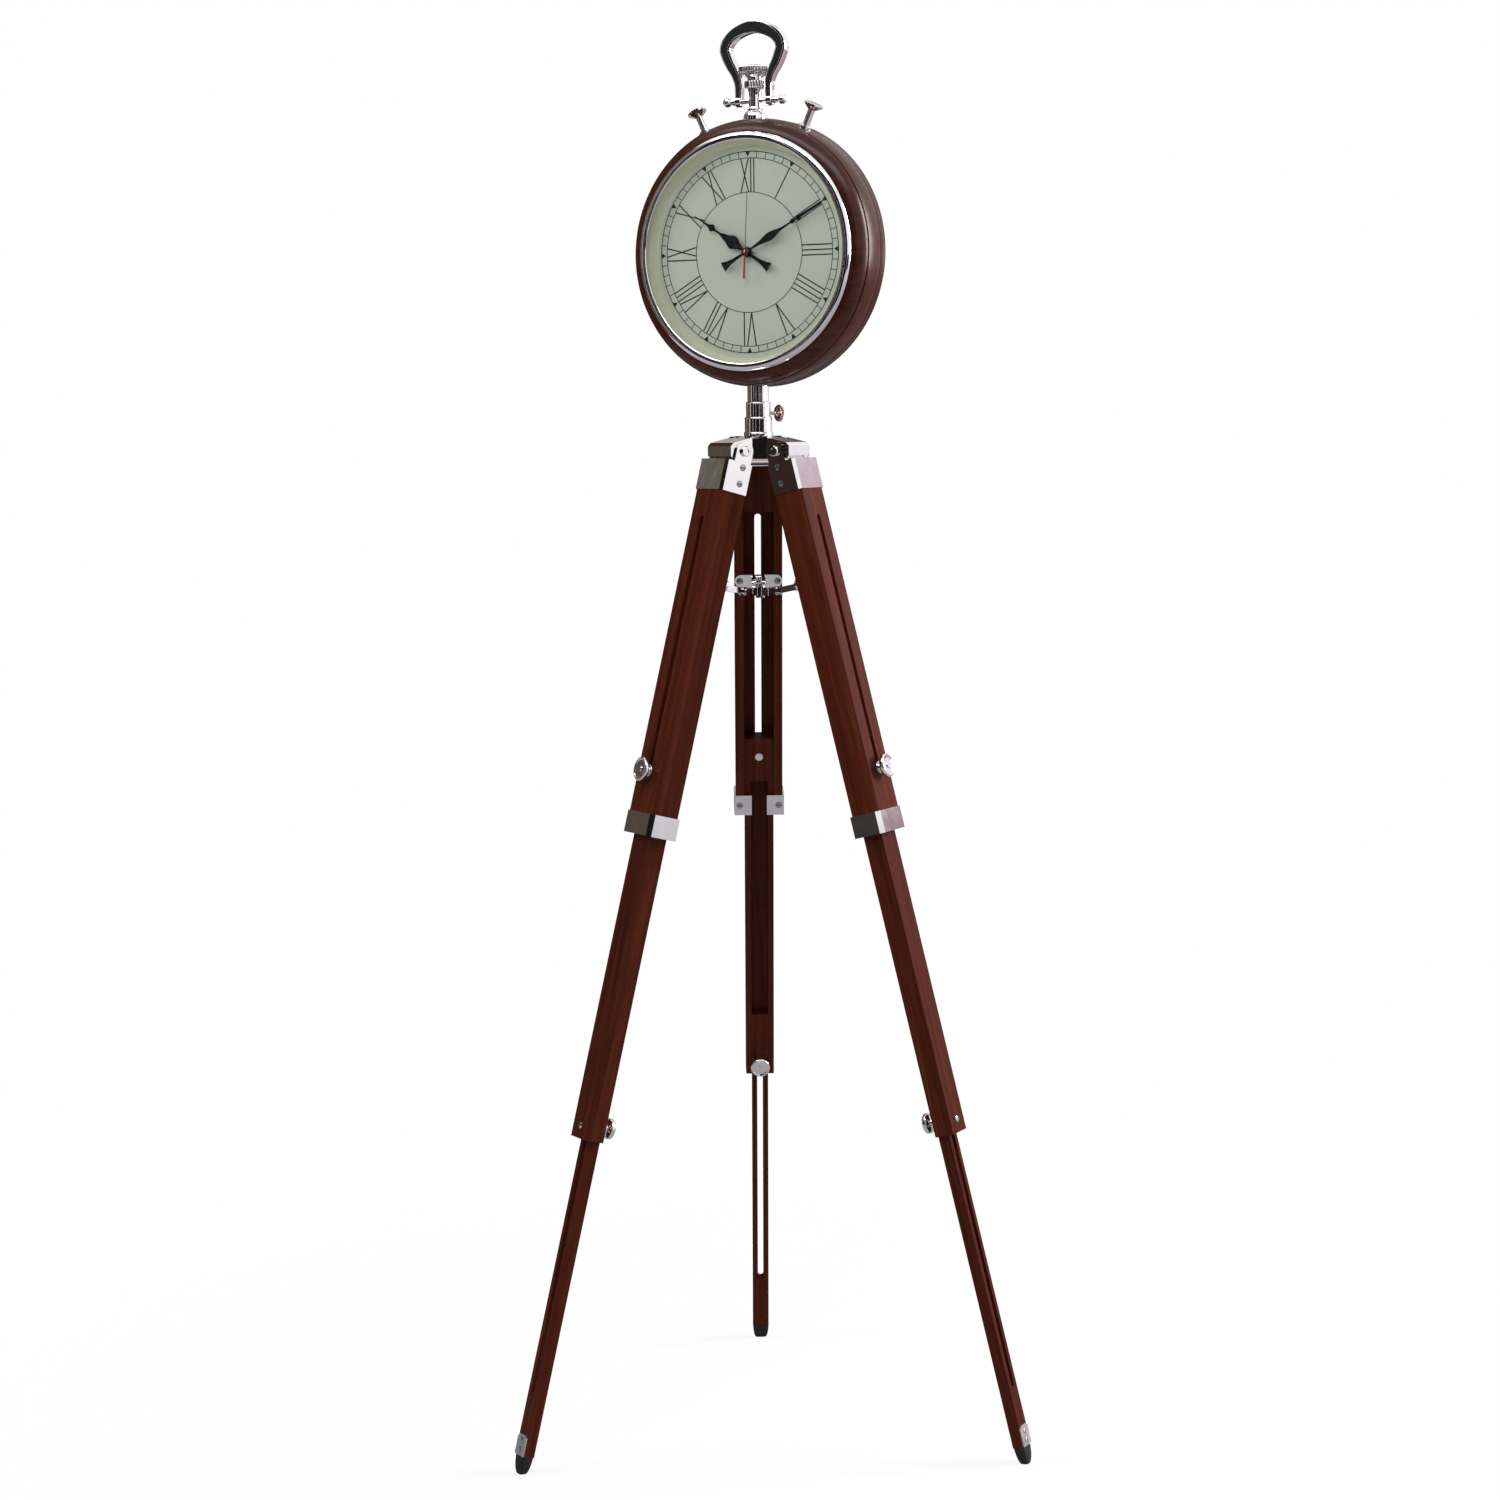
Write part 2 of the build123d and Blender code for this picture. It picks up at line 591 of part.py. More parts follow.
def knob(radius, disc, collar_r, neck_r, boss):
    """Round clamp knob on a collared neck, drawn with its seat on Z = 0."""
    bore = BOLT_R + RUN_GAP
    top = boss + disc
    dish = radius - KNOB_DISH_RIM
    return turned((bore, 0), (collar_r, 0), (collar_r, KNOB_COLLAR), (neck_r, KNOB_COLLAR),
                  (neck_r, boss), (radius - KNOB_EDGE, boss),
                  (radius, boss + KNOB_EDGE), (radius, top - KNOB_EDGE),
                  (radius - KNOB_EDGE, top), (dish, top), (dish - KNOB_EDGE, top - KNOB_DISH),
                  (bore, top - KNOB_DISH))


def upper_knob():
    """Knob on the outer face of the upper leg."""
    shape = knob(UPPER_KNOB_R, UPPER_KNOB_DISC, UPPER_COLLAR_R, UPPER_KNOB_NECK_R, UPPER_KNOB_BOSS)
    return Pos(UPPER_FRONT + SLIDE_GAP, 0, -MID_BOLT_DOWN) * Rot(0, 90, 0) * shape


def lower_knob():
    """Knob on the inner face of the middle leg."""
    shape = knob(LOWER_KNOB_R, LOWER_KNOB_DISC, LOWER_COLLAR_R, LOWER_KNOB_NECK_R, LOWER_KNOB_BOSS)
    return Pos(-MID_BACK - SLIDE_GAP, 0, -LOWER_BOLT_DOWN) * Rot(0, -90, 0) * shape


def lower_leg(screws):
    """Slotted lower leg that slides in the middle leg's channel."""
    body = block((-LOWER_BACK, LOWER_FRONT), (-LOWER_HALF, LOWER_HALF), (-LOWER_END, -LOWER_TOP))
    slot_top = LOWER_BOLT_DOWN - LOWER_SLOT / 2
    body -= slot_cut(LOWER_SLOT, slot_top, LOWER_SLOT_END, LOWER_FRONT + CUT, LOWER_BACK + CUT)
    for one in screws:
        body -= one
    return body


def foot_screws():
    """Two screws through the foot plate."""
    seat = LOWER_FRONT + FOOT_PLATE
    return [Pos(seat, 0, -LOWER_END + up) * Rot(0, 90, 0) * screw("x") for up in FOOT_SCREWS_UP]


def foot_plate(screws):
    """Wear plate on the outer face of the leg's end."""
    c, half, long = FOOT_PLATE_CORNER, LOWER_HALF, FOOT_PLATE_LENGTH
    outline = [(0, -half), (long - c, -half), (long, c - half),
               (long, half - c), (long - c, half), (0, half)]
    plate = Rot(0, -90, 0) * drawn(outline, FOOT_PLATE)
    plate = Pos(LOWER_FRONT + FOOT_PLATE, 0, -LOWER_END) * plate
    for one in screws:
        plate -= one
    return plate


def foot_tip(name):
    """Tapered rubber tip, cut level where it stands on the floor."""
    deep = LEG_LENGTH - LOWER_END + TIP_SOLE
    middle = (LOWER_FRONT - LOWER_BACK) / 2
    thick = LOWER_FRONT + LOWER_BACK + TIP_PROUD * 2
    wide = LOWER_HALF * 2 + TIP_PROUD * 2
    top = Pos(middle, 0, -LOWER_END) * Rectangle(thick, wide)
    sole = Pos(middle, 0, -LOWER_END - deep) * Rectangle(TIP_SOLE / 2, TIP_SOLE / 2)
    return split(at_leg(name, loft([top, sole])), Plane.XY, keep=Keep.TOP)


def make_leg(name):
    """One leg with its sliding sections, knobs, foot and spreader arm."""
    screws = leg_screw_set()
    ferrules = [top_ferrule(), low_ferrule()]
    plate = bracket()
    for one in screws:
        ferrules = [each - one for each in ferrules]
        plate -= one
    tip_screws = foot_screws()
    bolts = mid_bolt_pair()
    pieces = {
        "upper_leg": upper_leg(screws),
        "leg_ferrules": ferrules,
        "spreader_bracket": plate,
        "leg_screws": screws,
        "mid_leg": mid_leg(),
        "clamp_bolts": bolts,
        "upper_knob": upper_knob(),
        "lower_knob": lower_knob(),
        "lower_leg": lower_leg(tip_screws),
        "foot_plate": [foot_plate(tip_screws)] + tip_screws,
    }
    for piece, shapes in pieces.items():
        shapes = shapes if isinstance(shapes, list) else [shapes]
        save(f"{piece}_{name}", [at_leg(name, shape) for shape in shapes])
    save(f"foot_tip_{name}", foot_tip(name))
    save(f"spreader_arm_{name}", Rot(0, 0, LEG_AZIMUTH[name]) * spreader_arm())


def spreader_arm():
    """Flat arm from a hub pivot up to a leg's bracket."""
    half = ARM_THICK / 2
    across = (-half, half)
    arm = block((0, ARM_SPAN), across, (-ARM_DEPTH / 2, ARM_DEPTH / 2))
    arm += rod("y", ARM_DEPTH / 2, across) + rod("y", ARM_DEPTH / 2, across, (ARM_SPAN, 0))
    arm -= rod("y", PIVOT_R + RUN_GAP, across)
    return Pos(SPREAD_HUB_R, 0, HUB_Z) * Rot(0, -ARM_OPEN, 0) * arm


def spreader_hub():
    """Hub with a pinned fork for each arm."""
    half, room = HUB_THICK / 2, ARM_THICK / 2 + SLIDE_GAP
    body = rod("z", HUB_DISC_R, (-half, half))
    body += rod("z", HUB_BOSS_R, (-half - HUB_BOSS, half + HUB_BOSS))
    wide = room + CHEEK_THICK
    for azimuth in LEG_AZIMUTH.values():
        fork = block((0, SPREAD_HUB_R), (-wide, wide), (-half, half))
        fork += rod("y", half, (-wide, wide), (SPREAD_HUB_R, 0))
        body += Rot(0, 0, azimuth) * fork
    for azimuth in LEG_AZIMUTH.values():
        gap = block((SPREAD_HUB_R - ARM_DEPTH / 2 - CUT, SPREAD_HUB_R + half + CUT),
                    (-room, room), (-half - CUT, half + CUT))
        body -= Rot(0, 0, azimuth) * gap
    for azimuth in LEG_AZIMUTH.values():
        pin = rod("y", PIVOT_R, (-wide - PIVOT_HEAD, wide + PIVOT_HEAD), (SPREAD_HUB_R, 0))
        for side in (-1, 1):
            head = sorted((side * wide, side * (wide + PIVOT_HEAD)))
            pin += rod("y", PIVOT_HEAD_R, head, (SPREAD_HUB_R, 0))
        body += Rot(0, 0, azimuth) * pin
    return Pos(0, 0, HUB_Z) * body


def upright(side, half):
    """Side outline made solid to both sides of the middle plane."""
    return Pos(0, half, 0) * Rot(90, 0, 0) * drawn(side, half * 2)


def tripod_head():
    """Cast head: a lobe for each leg, webs between them, a low pyramid and the stepped socket."""
    r, b = HEAD_REACH, HEAD_BEVEL
    side = [(0, HEAD_BOTTOM), (r - b, HEAD_BOTTOM), (r, HEAD_BOTTOM + b), (r, HEAD_EDGE - b),
            (r - b, HEAD_EDGE), (FLARE_R, HEAD_PEAK), (0, HEAD_PEAK)]
    lobe = upright(side, LOBE_HALF)
    lobe -= rod("y", PIN_R + RUN_GAP, (-LOBE_HALF, LOBE_HALF), (HINGE_R, HINGE_Z))
    lobes = [Rot(0, 0, azimuth) * lobe for azimuth in LEG_AZIMUTH.values()]
    web_top = HEAD_PEAK - WEB_BELOW
    front = [(0, HEAD_BOTTOM), (WEB_REACH, HEAD_BOTTOM), (WEB_REACH, web_top - WEB_BEVEL),
             (WEB_REACH - WEB_BEVEL, web_top), (0, web_top)]
    webs = [Rot(0, 0, azimuth + 180) * upright(front, WEB_HALF) for azimuth in LEG_AZIMUTH.values()]
    e = TIER_EDGE
    socket = turned((0, HEAD_BOTTOM), (FLARE_R, HEAD_BOTTOM), (FLARE_R, FLARE_TOP - e),
                    (TIER_R, FLARE_TOP), (TIER_R, TIER_TOP - e), (TIER_R - e, TIER_TOP),
                    (SOCKET_R, TIER_TOP), (SOCKET_R, SOCKET_TOP - e / 2),
                    (SOCKET_R - e / 2, SOCKET_TOP), (0, SOCKET_TOP))
    body = joined(lobes + webs + [socket])
    body -= rod("z", STEM_R + HOLE_GAP, (SOCKET_FLOOR, SOCKET_TOP + CUT))
    hole = rod("x", THUMB_SHANK_R + RUN_GAP, (0, FLARE_R), (0, THUMB_Z))
    return body - Rot(0, 0, THUMB_AZIMUTH) * hole


def hinge_bolts():
    """One bolt with a dished round head at each end for each leg hinge."""
    end = FERRULE_HALF + SLIDE_GAP
    floor = PIN_HEAD - PIN_DISH
    head = turned((0, 0), (PIN_HEAD_R, 0), (PIN_HEAD_R, PIN_HEAD - PIN_EDGE),
                  (PIN_HEAD_R - PIN_EDGE, PIN_HEAD), (PIN_DISH_R, PIN_HEAD),
                  (PIN_DISH_R, floor), (0, floor))
    bolt = rod("y", PIN_R, (-end, end), (HINGE_R, HINGE_Z))
    for side in (-1, 1):
        bolt += Pos(HINGE_R, side * end, HINGE_Z) * Rot(-90 * side, 0, 0) * head
    return [Rot(0, 0, azimuth) * bolt for azimuth in LEG_AZIMUTH.values()]


def socket_screw():
    """Thumb screw that clamps the stem in its socket."""
    tip = STEM_R + SLIDE_GAP
    neck = SOCKET_R + THUMB_SHANK
    disc = neck + THUMB_CONE
    edge = KNOB_EDGE
    shape = turned((0, tip), (THUMB_SHANK_R, tip), (THUMB_SHANK_R, neck), (THUMB_CONE_R, neck),
                   (THUMB_R - edge, disc), (THUMB_R, disc + edge),
                   (THUMB_R, disc + THUMB_DISC - edge), (THUMB_R - edge, disc + THUMB_DISC),
                   (0, disc + THUMB_DISC))
    return Pos(0, 0, THUMB_Z) * Rot(0, 0, THUMB_AZIMUTH) * Rot(0, 90, 0) * shape


def stem_tube():
    """Round tube between the tripod socket and the clock case."""
    top = CLOCK_Z - CASE_R + STEM_ENTRY
    inner = STEM_R - STEM_WALL
    return turned((inner, STEM_BOTTOM), (STEM_R, STEM_BOTTOM), (STEM_R, top), (inner, top))


# Clock pieces are drawn about the case's middle: +X to the dial's right, +Z up, front is -Y.
def case_outline():
    """Half section of the turned wooden ring, as radius and distance to the front."""
    front = CASE_FRONT
    back = -CASE_BACK
    groove_low = FRONT_GROOVE - GROOVE_HALF
    rear_r = CASE_R - BAND_INSET
    band_r = FRONT_GROOVE_R + (CASE_R - FRONT_GROOVE_R) / 3
    middle = ((CASE_LAND + FRONT_GROOVE_R) / 2, (front + FRONT_GROOVE) / 2)
    bulge = (middle[0] + OVOLO_BULGE / sqrt(2), middle[1] + OVOLO_BULGE / sqrt(2))
    corner_r = BACK_ROUND_R + (rear_r - BACK_ROUND_R) * CORNER_OUT_SHARE
    corner_mid = (corner_r, back + BACK_ROUND * CORNER_UP_SHARE)
    groove_foot = (FRONT_GROOVE_R - GROOVE, FRONT_GROOVE)
    rear_top = (rear_r, -REAR_GROOVE + GROOVE_HALF)
    rear_foot = (rear_r - GROOVE, -REAR_GROOVE)
    rear_low = (rear_r, -REAR_GROOVE - GROOVE_HALF)
    return [
        Line((CASE_BORE, front), (CASE_LAND, front)),
        ThreePointArc((CASE_LAND, front), bulge, (FRONT_GROOVE_R, FRONT_GROOVE + GROOVE_HALF)),
        Line((FRONT_GROOVE_R, FRONT_GROOVE + GROOVE_HALF), groove_foot),
        Line(groove_foot, (band_r, groove_low)),
        ThreePointArc((band_r, groove_low), (CASE_R, 0), rear_top),
        Line(rear_top, rear_foot),
        Line(rear_foot, rear_low),
        Line(rear_low, (rear_r, back + BACK_ROUND)),
        ThreePointArc((rear_r, back + BACK_ROUND), corner_mid, (BACK_ROUND_R, back)),
        Line((BACK_ROUND_R, back), (CASE_BORE, back)),
        Line((CASE_BORE, back), (CASE_BORE, back + COVER)),
        Line((CASE_BORE, back + COVER), (LEDGE_R, back + COVER)),
        Line((LEDGE_R, back + COVER), (LEDGE_R, back + COVER + LEDGE)),
        Line((LEDGE_R, back + COVER + LEDGE), (CASE_BORE, back + COVER + LEDGE)),
        Line((CASE_BORE, back + COVER + LEDGE), (CASE_BORE, front)),
    ]


def clock_case():
    """Turned wooden ring with seats for stem, pendant and pusher bushes."""
    ring = facing(revolve(Plane.XZ * make_face(case_outline()), Axis.Z))
    ring -= rod("z", STEM_R + HOLE_GAP, (-CASE_R - CUT, -CASE_R + STEM_ENTRY + SLIDE_GAP))
    seat = CASE_R - SEAT_SINK
    ring -= rod("z", PENDANT_FOOT_R + HOLE_GAP, (seat, CASE_R + CUT))
    ring -= rod("z", STUD_R + HOLE_GAP, (seat - STUD, seat))
    for side in (-1, 1):
        hole = rod("z", BUSH_COLLAR_R + HOLE_GAP, (seat, CASE_R + CUT))
        hole += rod("z", BUSH_SLEEVE_R + HOLE_GAP, (CASE_BORE - CUT * 2, seat))
        ring -= Rot(0, side * PUSHER_LEAN, 0) * hole
    for one in cover_screws():
        ring -= one
    return ring


def bezel():
    """Bright ring that holds the glass, with a skirt in the case."""
    lip = BEZEL_FRONT - BEZEL_LIP
    return facing(turned(
        (BEZEL_INNER, BEZEL_FRONT), (BEZEL_INNER, lip), (BEZEL_SKIRT_BORE, lip),
        (BEZEL_SKIRT_BORE, BEZEL_SKIRT_END), (BEZEL_SKIRT_R, BEZEL_SKIRT_END),
        (BEZEL_SKIRT_R, CASE_FRONT), (BEZEL_R, CASE_FRONT), (BEZEL_R, CASE_FRONT + BEZEL_STEP),
        (BEZEL_R - BEZEL_STEP / 2, lip - BEZEL_STEP / 2),
        (BEZEL_R - BEZEL_STEP * 2, lip + BEZEL_LIP * BEZEL_CROWN_SHARE),
        (BEZEL_R - BEZEL_STEP * 3, BEZEL_FRONT)))


def lens():
    """Flat glass."""
    return facing(rod("z", LENS_R, (LENS_FRONT - LENS, LENS_FRONT)))


def dial_pan():
    """Dial with its sloping rim, pressed from one sheet."""
    pan = turned((0, DIAL_FRONT), (DIAL_R, DIAL_FRONT), (FLANGE_R - FLANGE_RIM, FLANGE_FRONT),
                 (FLANGE_R, FLANGE_FRONT), (FLANGE_R, FLANGE_FRONT - DIAL),
                 (DIAL_R + FLANGE_RIM, DIAL_FRONT - DIAL), (0, DIAL_FRONT - DIAL))
    pan -= rod("z", BUSH_R + HOLE_GAP, (DIAL_FRONT - DIAL - CUT, DIAL_FRONT + CUT))
    return facing(pan)


def movement_housing():
    """Closed movement box with its threaded bush and an open battery bay."""
    front, back, half = BOX_BACK + BOX_DEPTH, BOX_BACK, BOX / 2
    flat = extrude(RectangleRounded(BOX, BOX, BOX_EDGE), BOX_DEPTH)
    body = Pos(0, 0, back) * flat + rod("z", BUSH_R, (front, BUSH_FRONT))
    inside = half - BOX_WALL
    body -= block((-inside, inside), (-WORKS_LOW, inside), (back + BOX_WALL, front - BOX_WALL))
    body -= rod("z", HOUR_TUBE_R + RUN_GAP, (front - BOX_WALL, BUSH_FRONT + CUT))
    body -= rod("z", SETTING_SHAFT_R + RUN_GAP, (back - CUT, back + BOX_WALL + CUT))
    bay = BATTERY_R + BATTERY_ROOM
    reach = BATTERY / 2 + BATTERY_NUB
    body -= block((-reach, reach), (-BATTERY_DOWN - bay, -BATTERY_DOWN + bay),
                  (back - CUT, back + BATTERY_R * 2 + BATTERY_ROOM))
    return facing(body)


def battery():
    """Round cell in the movement's bay."""
    at = (-BATTERY_DOWN, BOX_BACK + BATTERY_R + BATTERY_ROOM / 2)
    cell = rod("x", BATTERY_R, (-BATTERY / 2, BATTERY / 2), at)
    return facing(cell + rod("x", BATTERY_NUB_R, (BATTERY / 2, BATTERY / 2 + BATTERY_NUB / 2), at))


def setting_knob():
    """Thumb wheel on the back of the movement that sets the hands."""
    top = BOX_BACK - SLIDE_GAP
    wheel = rod("z", SETTING_R, (top - SETTING, top))
    return facing(wheel + rod("z", SETTING_SHAFT_R, (top, BOX_BACK + BOX_WALL + CUT)))


def back_cover():
    """Round board in the case's back rebate, open in the middle."""
    board = rod("z", CASE_BORE - COVER_GAP, (-CASE_BACK, -CASE_BACK + COVER))
    board = facing(board - rod("z", COVER_HOLE_R, (-CASE_BACK - CUT, -CASE_BACK + COVER + CUT)))
    for one in cover_screws():
        board -= one
    return board


def cover_screws():
    """Screws that hold the back cover."""
    one = Pos(0, COVER_SCREWS_R, -CASE_BACK) * Rot(180, 0, 0) * screw()
    step = 360 / COVER_SCREW_COUNT
    return [facing(Rot(0, 0, (count + 0.5) * step) * one) for count in range(COVER_SCREW_COUNT)]


def movement_nut():
    """Thin nut that clamps the dial to the movement."""
    nut = Pos(0, 0, DIAL_FRONT) * extrude(RegularPolygon(NUT_R, 6), NUT)
    return facing(nut - rod("z", BUSH_R + RUN_GAP, (DIAL_FRONT - CUT, DIAL_FRONT + NUT + CUT)))


def mirrored(points):
    """Closed outline from its right half, tail to tip."""
    return points + [(-x, y) for x, y in reversed(points) if x]


def hand_blank(outline, length, tail):
    """Flat hand with a fishtail, from its right half."""
    half = [(0, FISHTAIL_NOTCH - tail)]
    half += [(wide * HAND_NECK_HALF, -place * tail) for place, wide in TAIL_SHARES]
    half += [(wide * HAND_NECK_HALF, place * length) for place, wide in outline]
    return drawn(mirrored(half + [(0, length)]), HAND)


def set_hand(flat, top, time, tube_r, bore_r, collar_r, back):
    """Hand on its arbor, turned to its time."""
    body = Pos(0, 0, top - HAND) * flat + rod("z", collar_r, (top - HAND, top + COLLAR_STEP))
    body += rod("z", tube_r, (back, top))
    if bore_r:
        body -= rod("z", bore_r, (back - CUT, top + COLLAR_STEP + CUT))
    return facing(Rot(0, 0, -time) * body)


def hour_hand():
    """Broad spade hand with a fishtail."""
    blank = hand_blank(HOUR_SHARES, HOUR_LENGTH, HOUR_TAIL)
    return set_hand(blank, HOUR_FRONT, HOUR_TIME, HOUR_TUBE_R, MINUTE_TUBE_R + RUN_GAP,
                    HOUR_COLLAR_R, ARBOR_BACK)


def minute_hand():
    """Long leaf hand with two knots and a fishtail."""
    blank = hand_blank(MINUTE_SHARES, MINUTE_LENGTH, MINUTE_TAIL)
    return set_hand(blank, MINUTE_FRONT, MINUTE_TIME, MINUTE_TUBE_R, SECOND_R + RUN_GAP,
                    MINUTE_COLLAR_R, ARBOR_BACK)


def second_hand():
    """Thin sweep hand with a short tail."""
    tail = SECOND_TAIL
    half = [(0, -tail), (SECOND_TAIL_HALF, -tail), (SECOND_HALF, 0), (SECOND_HALF, SECOND_LENGTH),
            (0, SECOND_LENGTH)]
    body = Pos(0, 0, SECOND_FRONT - HAND) * drawn(mirrored(half), HAND)
    body += rod("z", SECOND_CAP_R, (SECOND_FRONT - HAND, SECOND_FRONT + SECOND_CAP))
    body += rod("z", SECOND_R, (ARBOR_BACK, SECOND_FRONT))
    return facing(Rot(0, 0, -SECOND_TIME) * body)


def pendant():
    """Turned post for the bow and crown, screwed into the case's top."""
    seat = CASE_R - SEAT_SINK
    shoulder = seat + PENDANT_FOOT
    post = turned((0, seat - STUD), (STUD_R, seat - STUD), (STUD_R, seat), (PENDANT_FOOT_R, seat),
                  (PENDANT_FOOT_R, seat + PENDANT_FOOT * PENDANT_BEAD_SHARE),
                  (PENDANT_FOOT_R - PENDANT_INSET, seat + PENDANT_FOOT * PENDANT_WAIST_SHARE),
                  ((PENDANT_FOOT_R + PENDANT_R) / 2, seat + PENDANT_FOOT * PENDANT_NECK_SHARE),
                  (PENDANT_R, shoulder), (PENDANT_R, PENDANT_TOP), (0, PENDANT_TOP))
    floor = PENDANT_TOP - CROWN_SHAFT - SLIDE_GAP
    post -= rod("z", CROWN_SHAFT_R + RUN_GAP, (floor, PENDANT_TOP + CUT))
    reach = PENDANT_R + CUT
    return post - rod("x", BOW_PIN_R + HOLE_GAP, (-reach, reach), (0, BOW_PIN_UP))


def crown():
    """Knurled winding crown on its shaft."""
    low = PENDANT_TOP + SLIDE_GAP
    ring = low + CROWN_RING
    e = CROWN_EDGE
    return turned((0, PENDANT_TOP - CROWN_SHAFT), (CROWN_SHAFT_R, PENDANT_TOP - CROWN_SHAFT),
                  (CROWN_SHAFT_R, low), (CROWN_NECK_R, low), (CROWN_RING_R, low + e),
                  (CROWN_RING_R, ring - e), (CROWN_NECK_R, ring), (CROWN_NECK_R, CROWN_NECK_TOP),
                  (CROWN_R - e, CROWN_RIM_LOW), (CROWN_R, CROWN_RIM_LOW + e),
                  (CROWN_R, CROWN_TOP - e), (CROWN_R - e, CROWN_TOP), (0, CROWN_TOP))


def bow():
    """Horseshoe bow that hinges on the two bow screws."""
    right = [(half, BOW_PIN_UP + up) for half, up in BOW_LINE]
    left = [(-half, up) for half, up in right[:-1]]
    middle = Spline(*left, *right[::-1], tangents=[(0, 1), (0, -1)])
    outer, inner = [], []
    for count in range(BOW_STATIONS + 1):
        share = count / BOW_STATIONS
        point, along = middle @ share, middle % share
        aside = Vector(-along.Y, along.X) * BOW_WIDTH / 2
        outer.append(point + aside)
        inner.append(point - aside)
    outline = [Spline(*outer), Line(outer[-1], inner[-1]), Spline(*inner), Line(inner[0], outer[0])]
    body = Rot(90, 0, 0) * extrude(make_face(outline), BOW_DEPTH / 2, both=True)
    half = BOW_EYE / 2
    for side in (-1, 1):
        across = sorted((side * (BOW_NECK - half), side * (BOW_NECK + half)))
        body += rod("x", BOW_EYE_R, across, (0, BOW_PIN_UP))
    reach = BOW_NECK + BOW_WIDTH
    return body - rod("x", BOW_PIN_R + RUN_GAP, (-reach, reach), (0, BOW_PIN_UP))


def bow_screws():
    """Ball-ended screws that carry the bow."""
    eye_out = BOW_NECK + BOW_EYE / 2 + SLIDE_GAP
    screw_shape = rod("z", BOW_PIN_R, (PENDANT_R / 4, BOW_BALL))
    screw_shape += rod("z", BOW_COLLAR_R, (eye_out, eye_out + BOW_COLLAR))
    screw_shape += Pos(0, 0, BOW_BALL) * Sphere(BOW_BALL_R)
    return [Pos(0, 0, BOW_PIN_UP) * Rot(0, side * 90, 0) * screw_shape for side in (-1, 1)]


def pusher_bush():
    """Collared bush that guides a pusher."""
    seat = CASE_R - SEAT_SINK
    bore = PUSHER_R + RUN_GAP
    top = seat + BUSH_COLLAR
    return turned((bore, seat - BUSH_SLEEVE), (BUSH_SLEEVE_R, seat - BUSH_SLEEVE),
                  (BUSH_SLEEVE_R, seat), (BUSH_COLLAR_R, seat), (BUSH_COLLAR_R, top - BUSH_COLLAR / 3),
                  ((BUSH_COLLAR_R + bore) / 2, top), (bore, top))


def pusher():
    """Push button with a mushroom cap."""
    low = PUSHER_TOP - PUSHER_CAP
    e = CROWN_EDGE
    return turned((0, PUSHER_INNER), (PUSHER_R, PUSHER_INNER), (PUSHER_R, low - PUSHER_CONE),
                  (PUSHER_CAP_R - e, low), (PUSHER_CAP_R, low + e), (PUSHER_CAP_R, PUSHER_TOP - e),
                  (PUSHER_CAP_R - e, PUSHER_TOP - e / 3), (0, PUSHER_TOP))


def make_clock():
    """Everything that turns with the clock head."""
    save("clock_case", at_clock(clock_case()))
    save("bezel", at_clock(bezel()))
    save("lens", at_clock(lens()))
    save("dial_pan", at_clock(dial_pan()))
    save("movement_housing", at_clock(movement_housing()))
    save("battery", at_clock(battery()))
    save("setting_knob", at_clock(setting_knob()))
    save("back_cover", at_clock(back_cover()))
    save("clock_fasteners", [at_clock(one) for one in cover_screws() + [movement_nut()]])
    save("hour_hand", at_clock(hour_hand()))
    save("minute_hand", at_clock(minute_hand()))
    save("second_hand", at_clock(second_hand()))
    save("pendant", at_clock(pendant()))
    save("crown", at_clock(crown()))
    save("bow", at_clock(bow()))
    save("bow_screws", [at_clock(one) for one in bow_screws()])
    sides = {"left": -PUSHER_LEAN, "right": PUSHER_LEAN}
    save("pusher_bushes", [at_clock(Rot(0, lean, 0) * pusher_bush()) for lean in sides.values()])
    for name, lean in sides.items():
        save(f"pusher_{name}", at_clock(Rot(0, lean, 0) * pusher()))


def main():
    os.makedirs("parts", exist_ok=True)
    make_clock()
    save("stem_tube", stem_tube())
    save("tripod_head", tripod_head())
    save("hinge_bolts", hinge_bolts())
    save("socket_screw", socket_screw())
    save("spreader_hub", spreader_hub())
    for name in LEG_AZIMUTH:
        make_leg(name)


main()
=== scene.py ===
import math

import bmesh
import bpy
from mathutils import Euler, Matrix, Vector


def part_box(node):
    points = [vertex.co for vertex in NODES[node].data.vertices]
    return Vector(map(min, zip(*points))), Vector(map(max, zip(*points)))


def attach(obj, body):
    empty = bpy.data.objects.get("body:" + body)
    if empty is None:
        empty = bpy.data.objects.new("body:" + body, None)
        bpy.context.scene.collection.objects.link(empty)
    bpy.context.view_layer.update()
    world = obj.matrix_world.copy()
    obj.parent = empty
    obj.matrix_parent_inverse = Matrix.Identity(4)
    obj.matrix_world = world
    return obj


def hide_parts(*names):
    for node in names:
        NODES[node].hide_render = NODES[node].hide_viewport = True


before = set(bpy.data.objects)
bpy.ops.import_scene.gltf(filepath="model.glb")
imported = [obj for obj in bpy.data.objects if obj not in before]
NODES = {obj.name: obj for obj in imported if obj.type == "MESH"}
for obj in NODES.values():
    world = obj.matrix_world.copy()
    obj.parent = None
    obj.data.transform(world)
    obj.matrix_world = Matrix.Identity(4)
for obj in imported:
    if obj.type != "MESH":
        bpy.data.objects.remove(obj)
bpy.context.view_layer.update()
MM = 0.001

# Places of the pieces: angles in degrees, lengths in millimetres.
LEG_AZIMUTH = {"left": 210, "right": 330, "rear": 90}
SPLAY = 14.6
HINGE_R = 33.5
CLOCK_TURN = -28.8
DIAL_FRONT = 17.9
CASE_R = 140.6


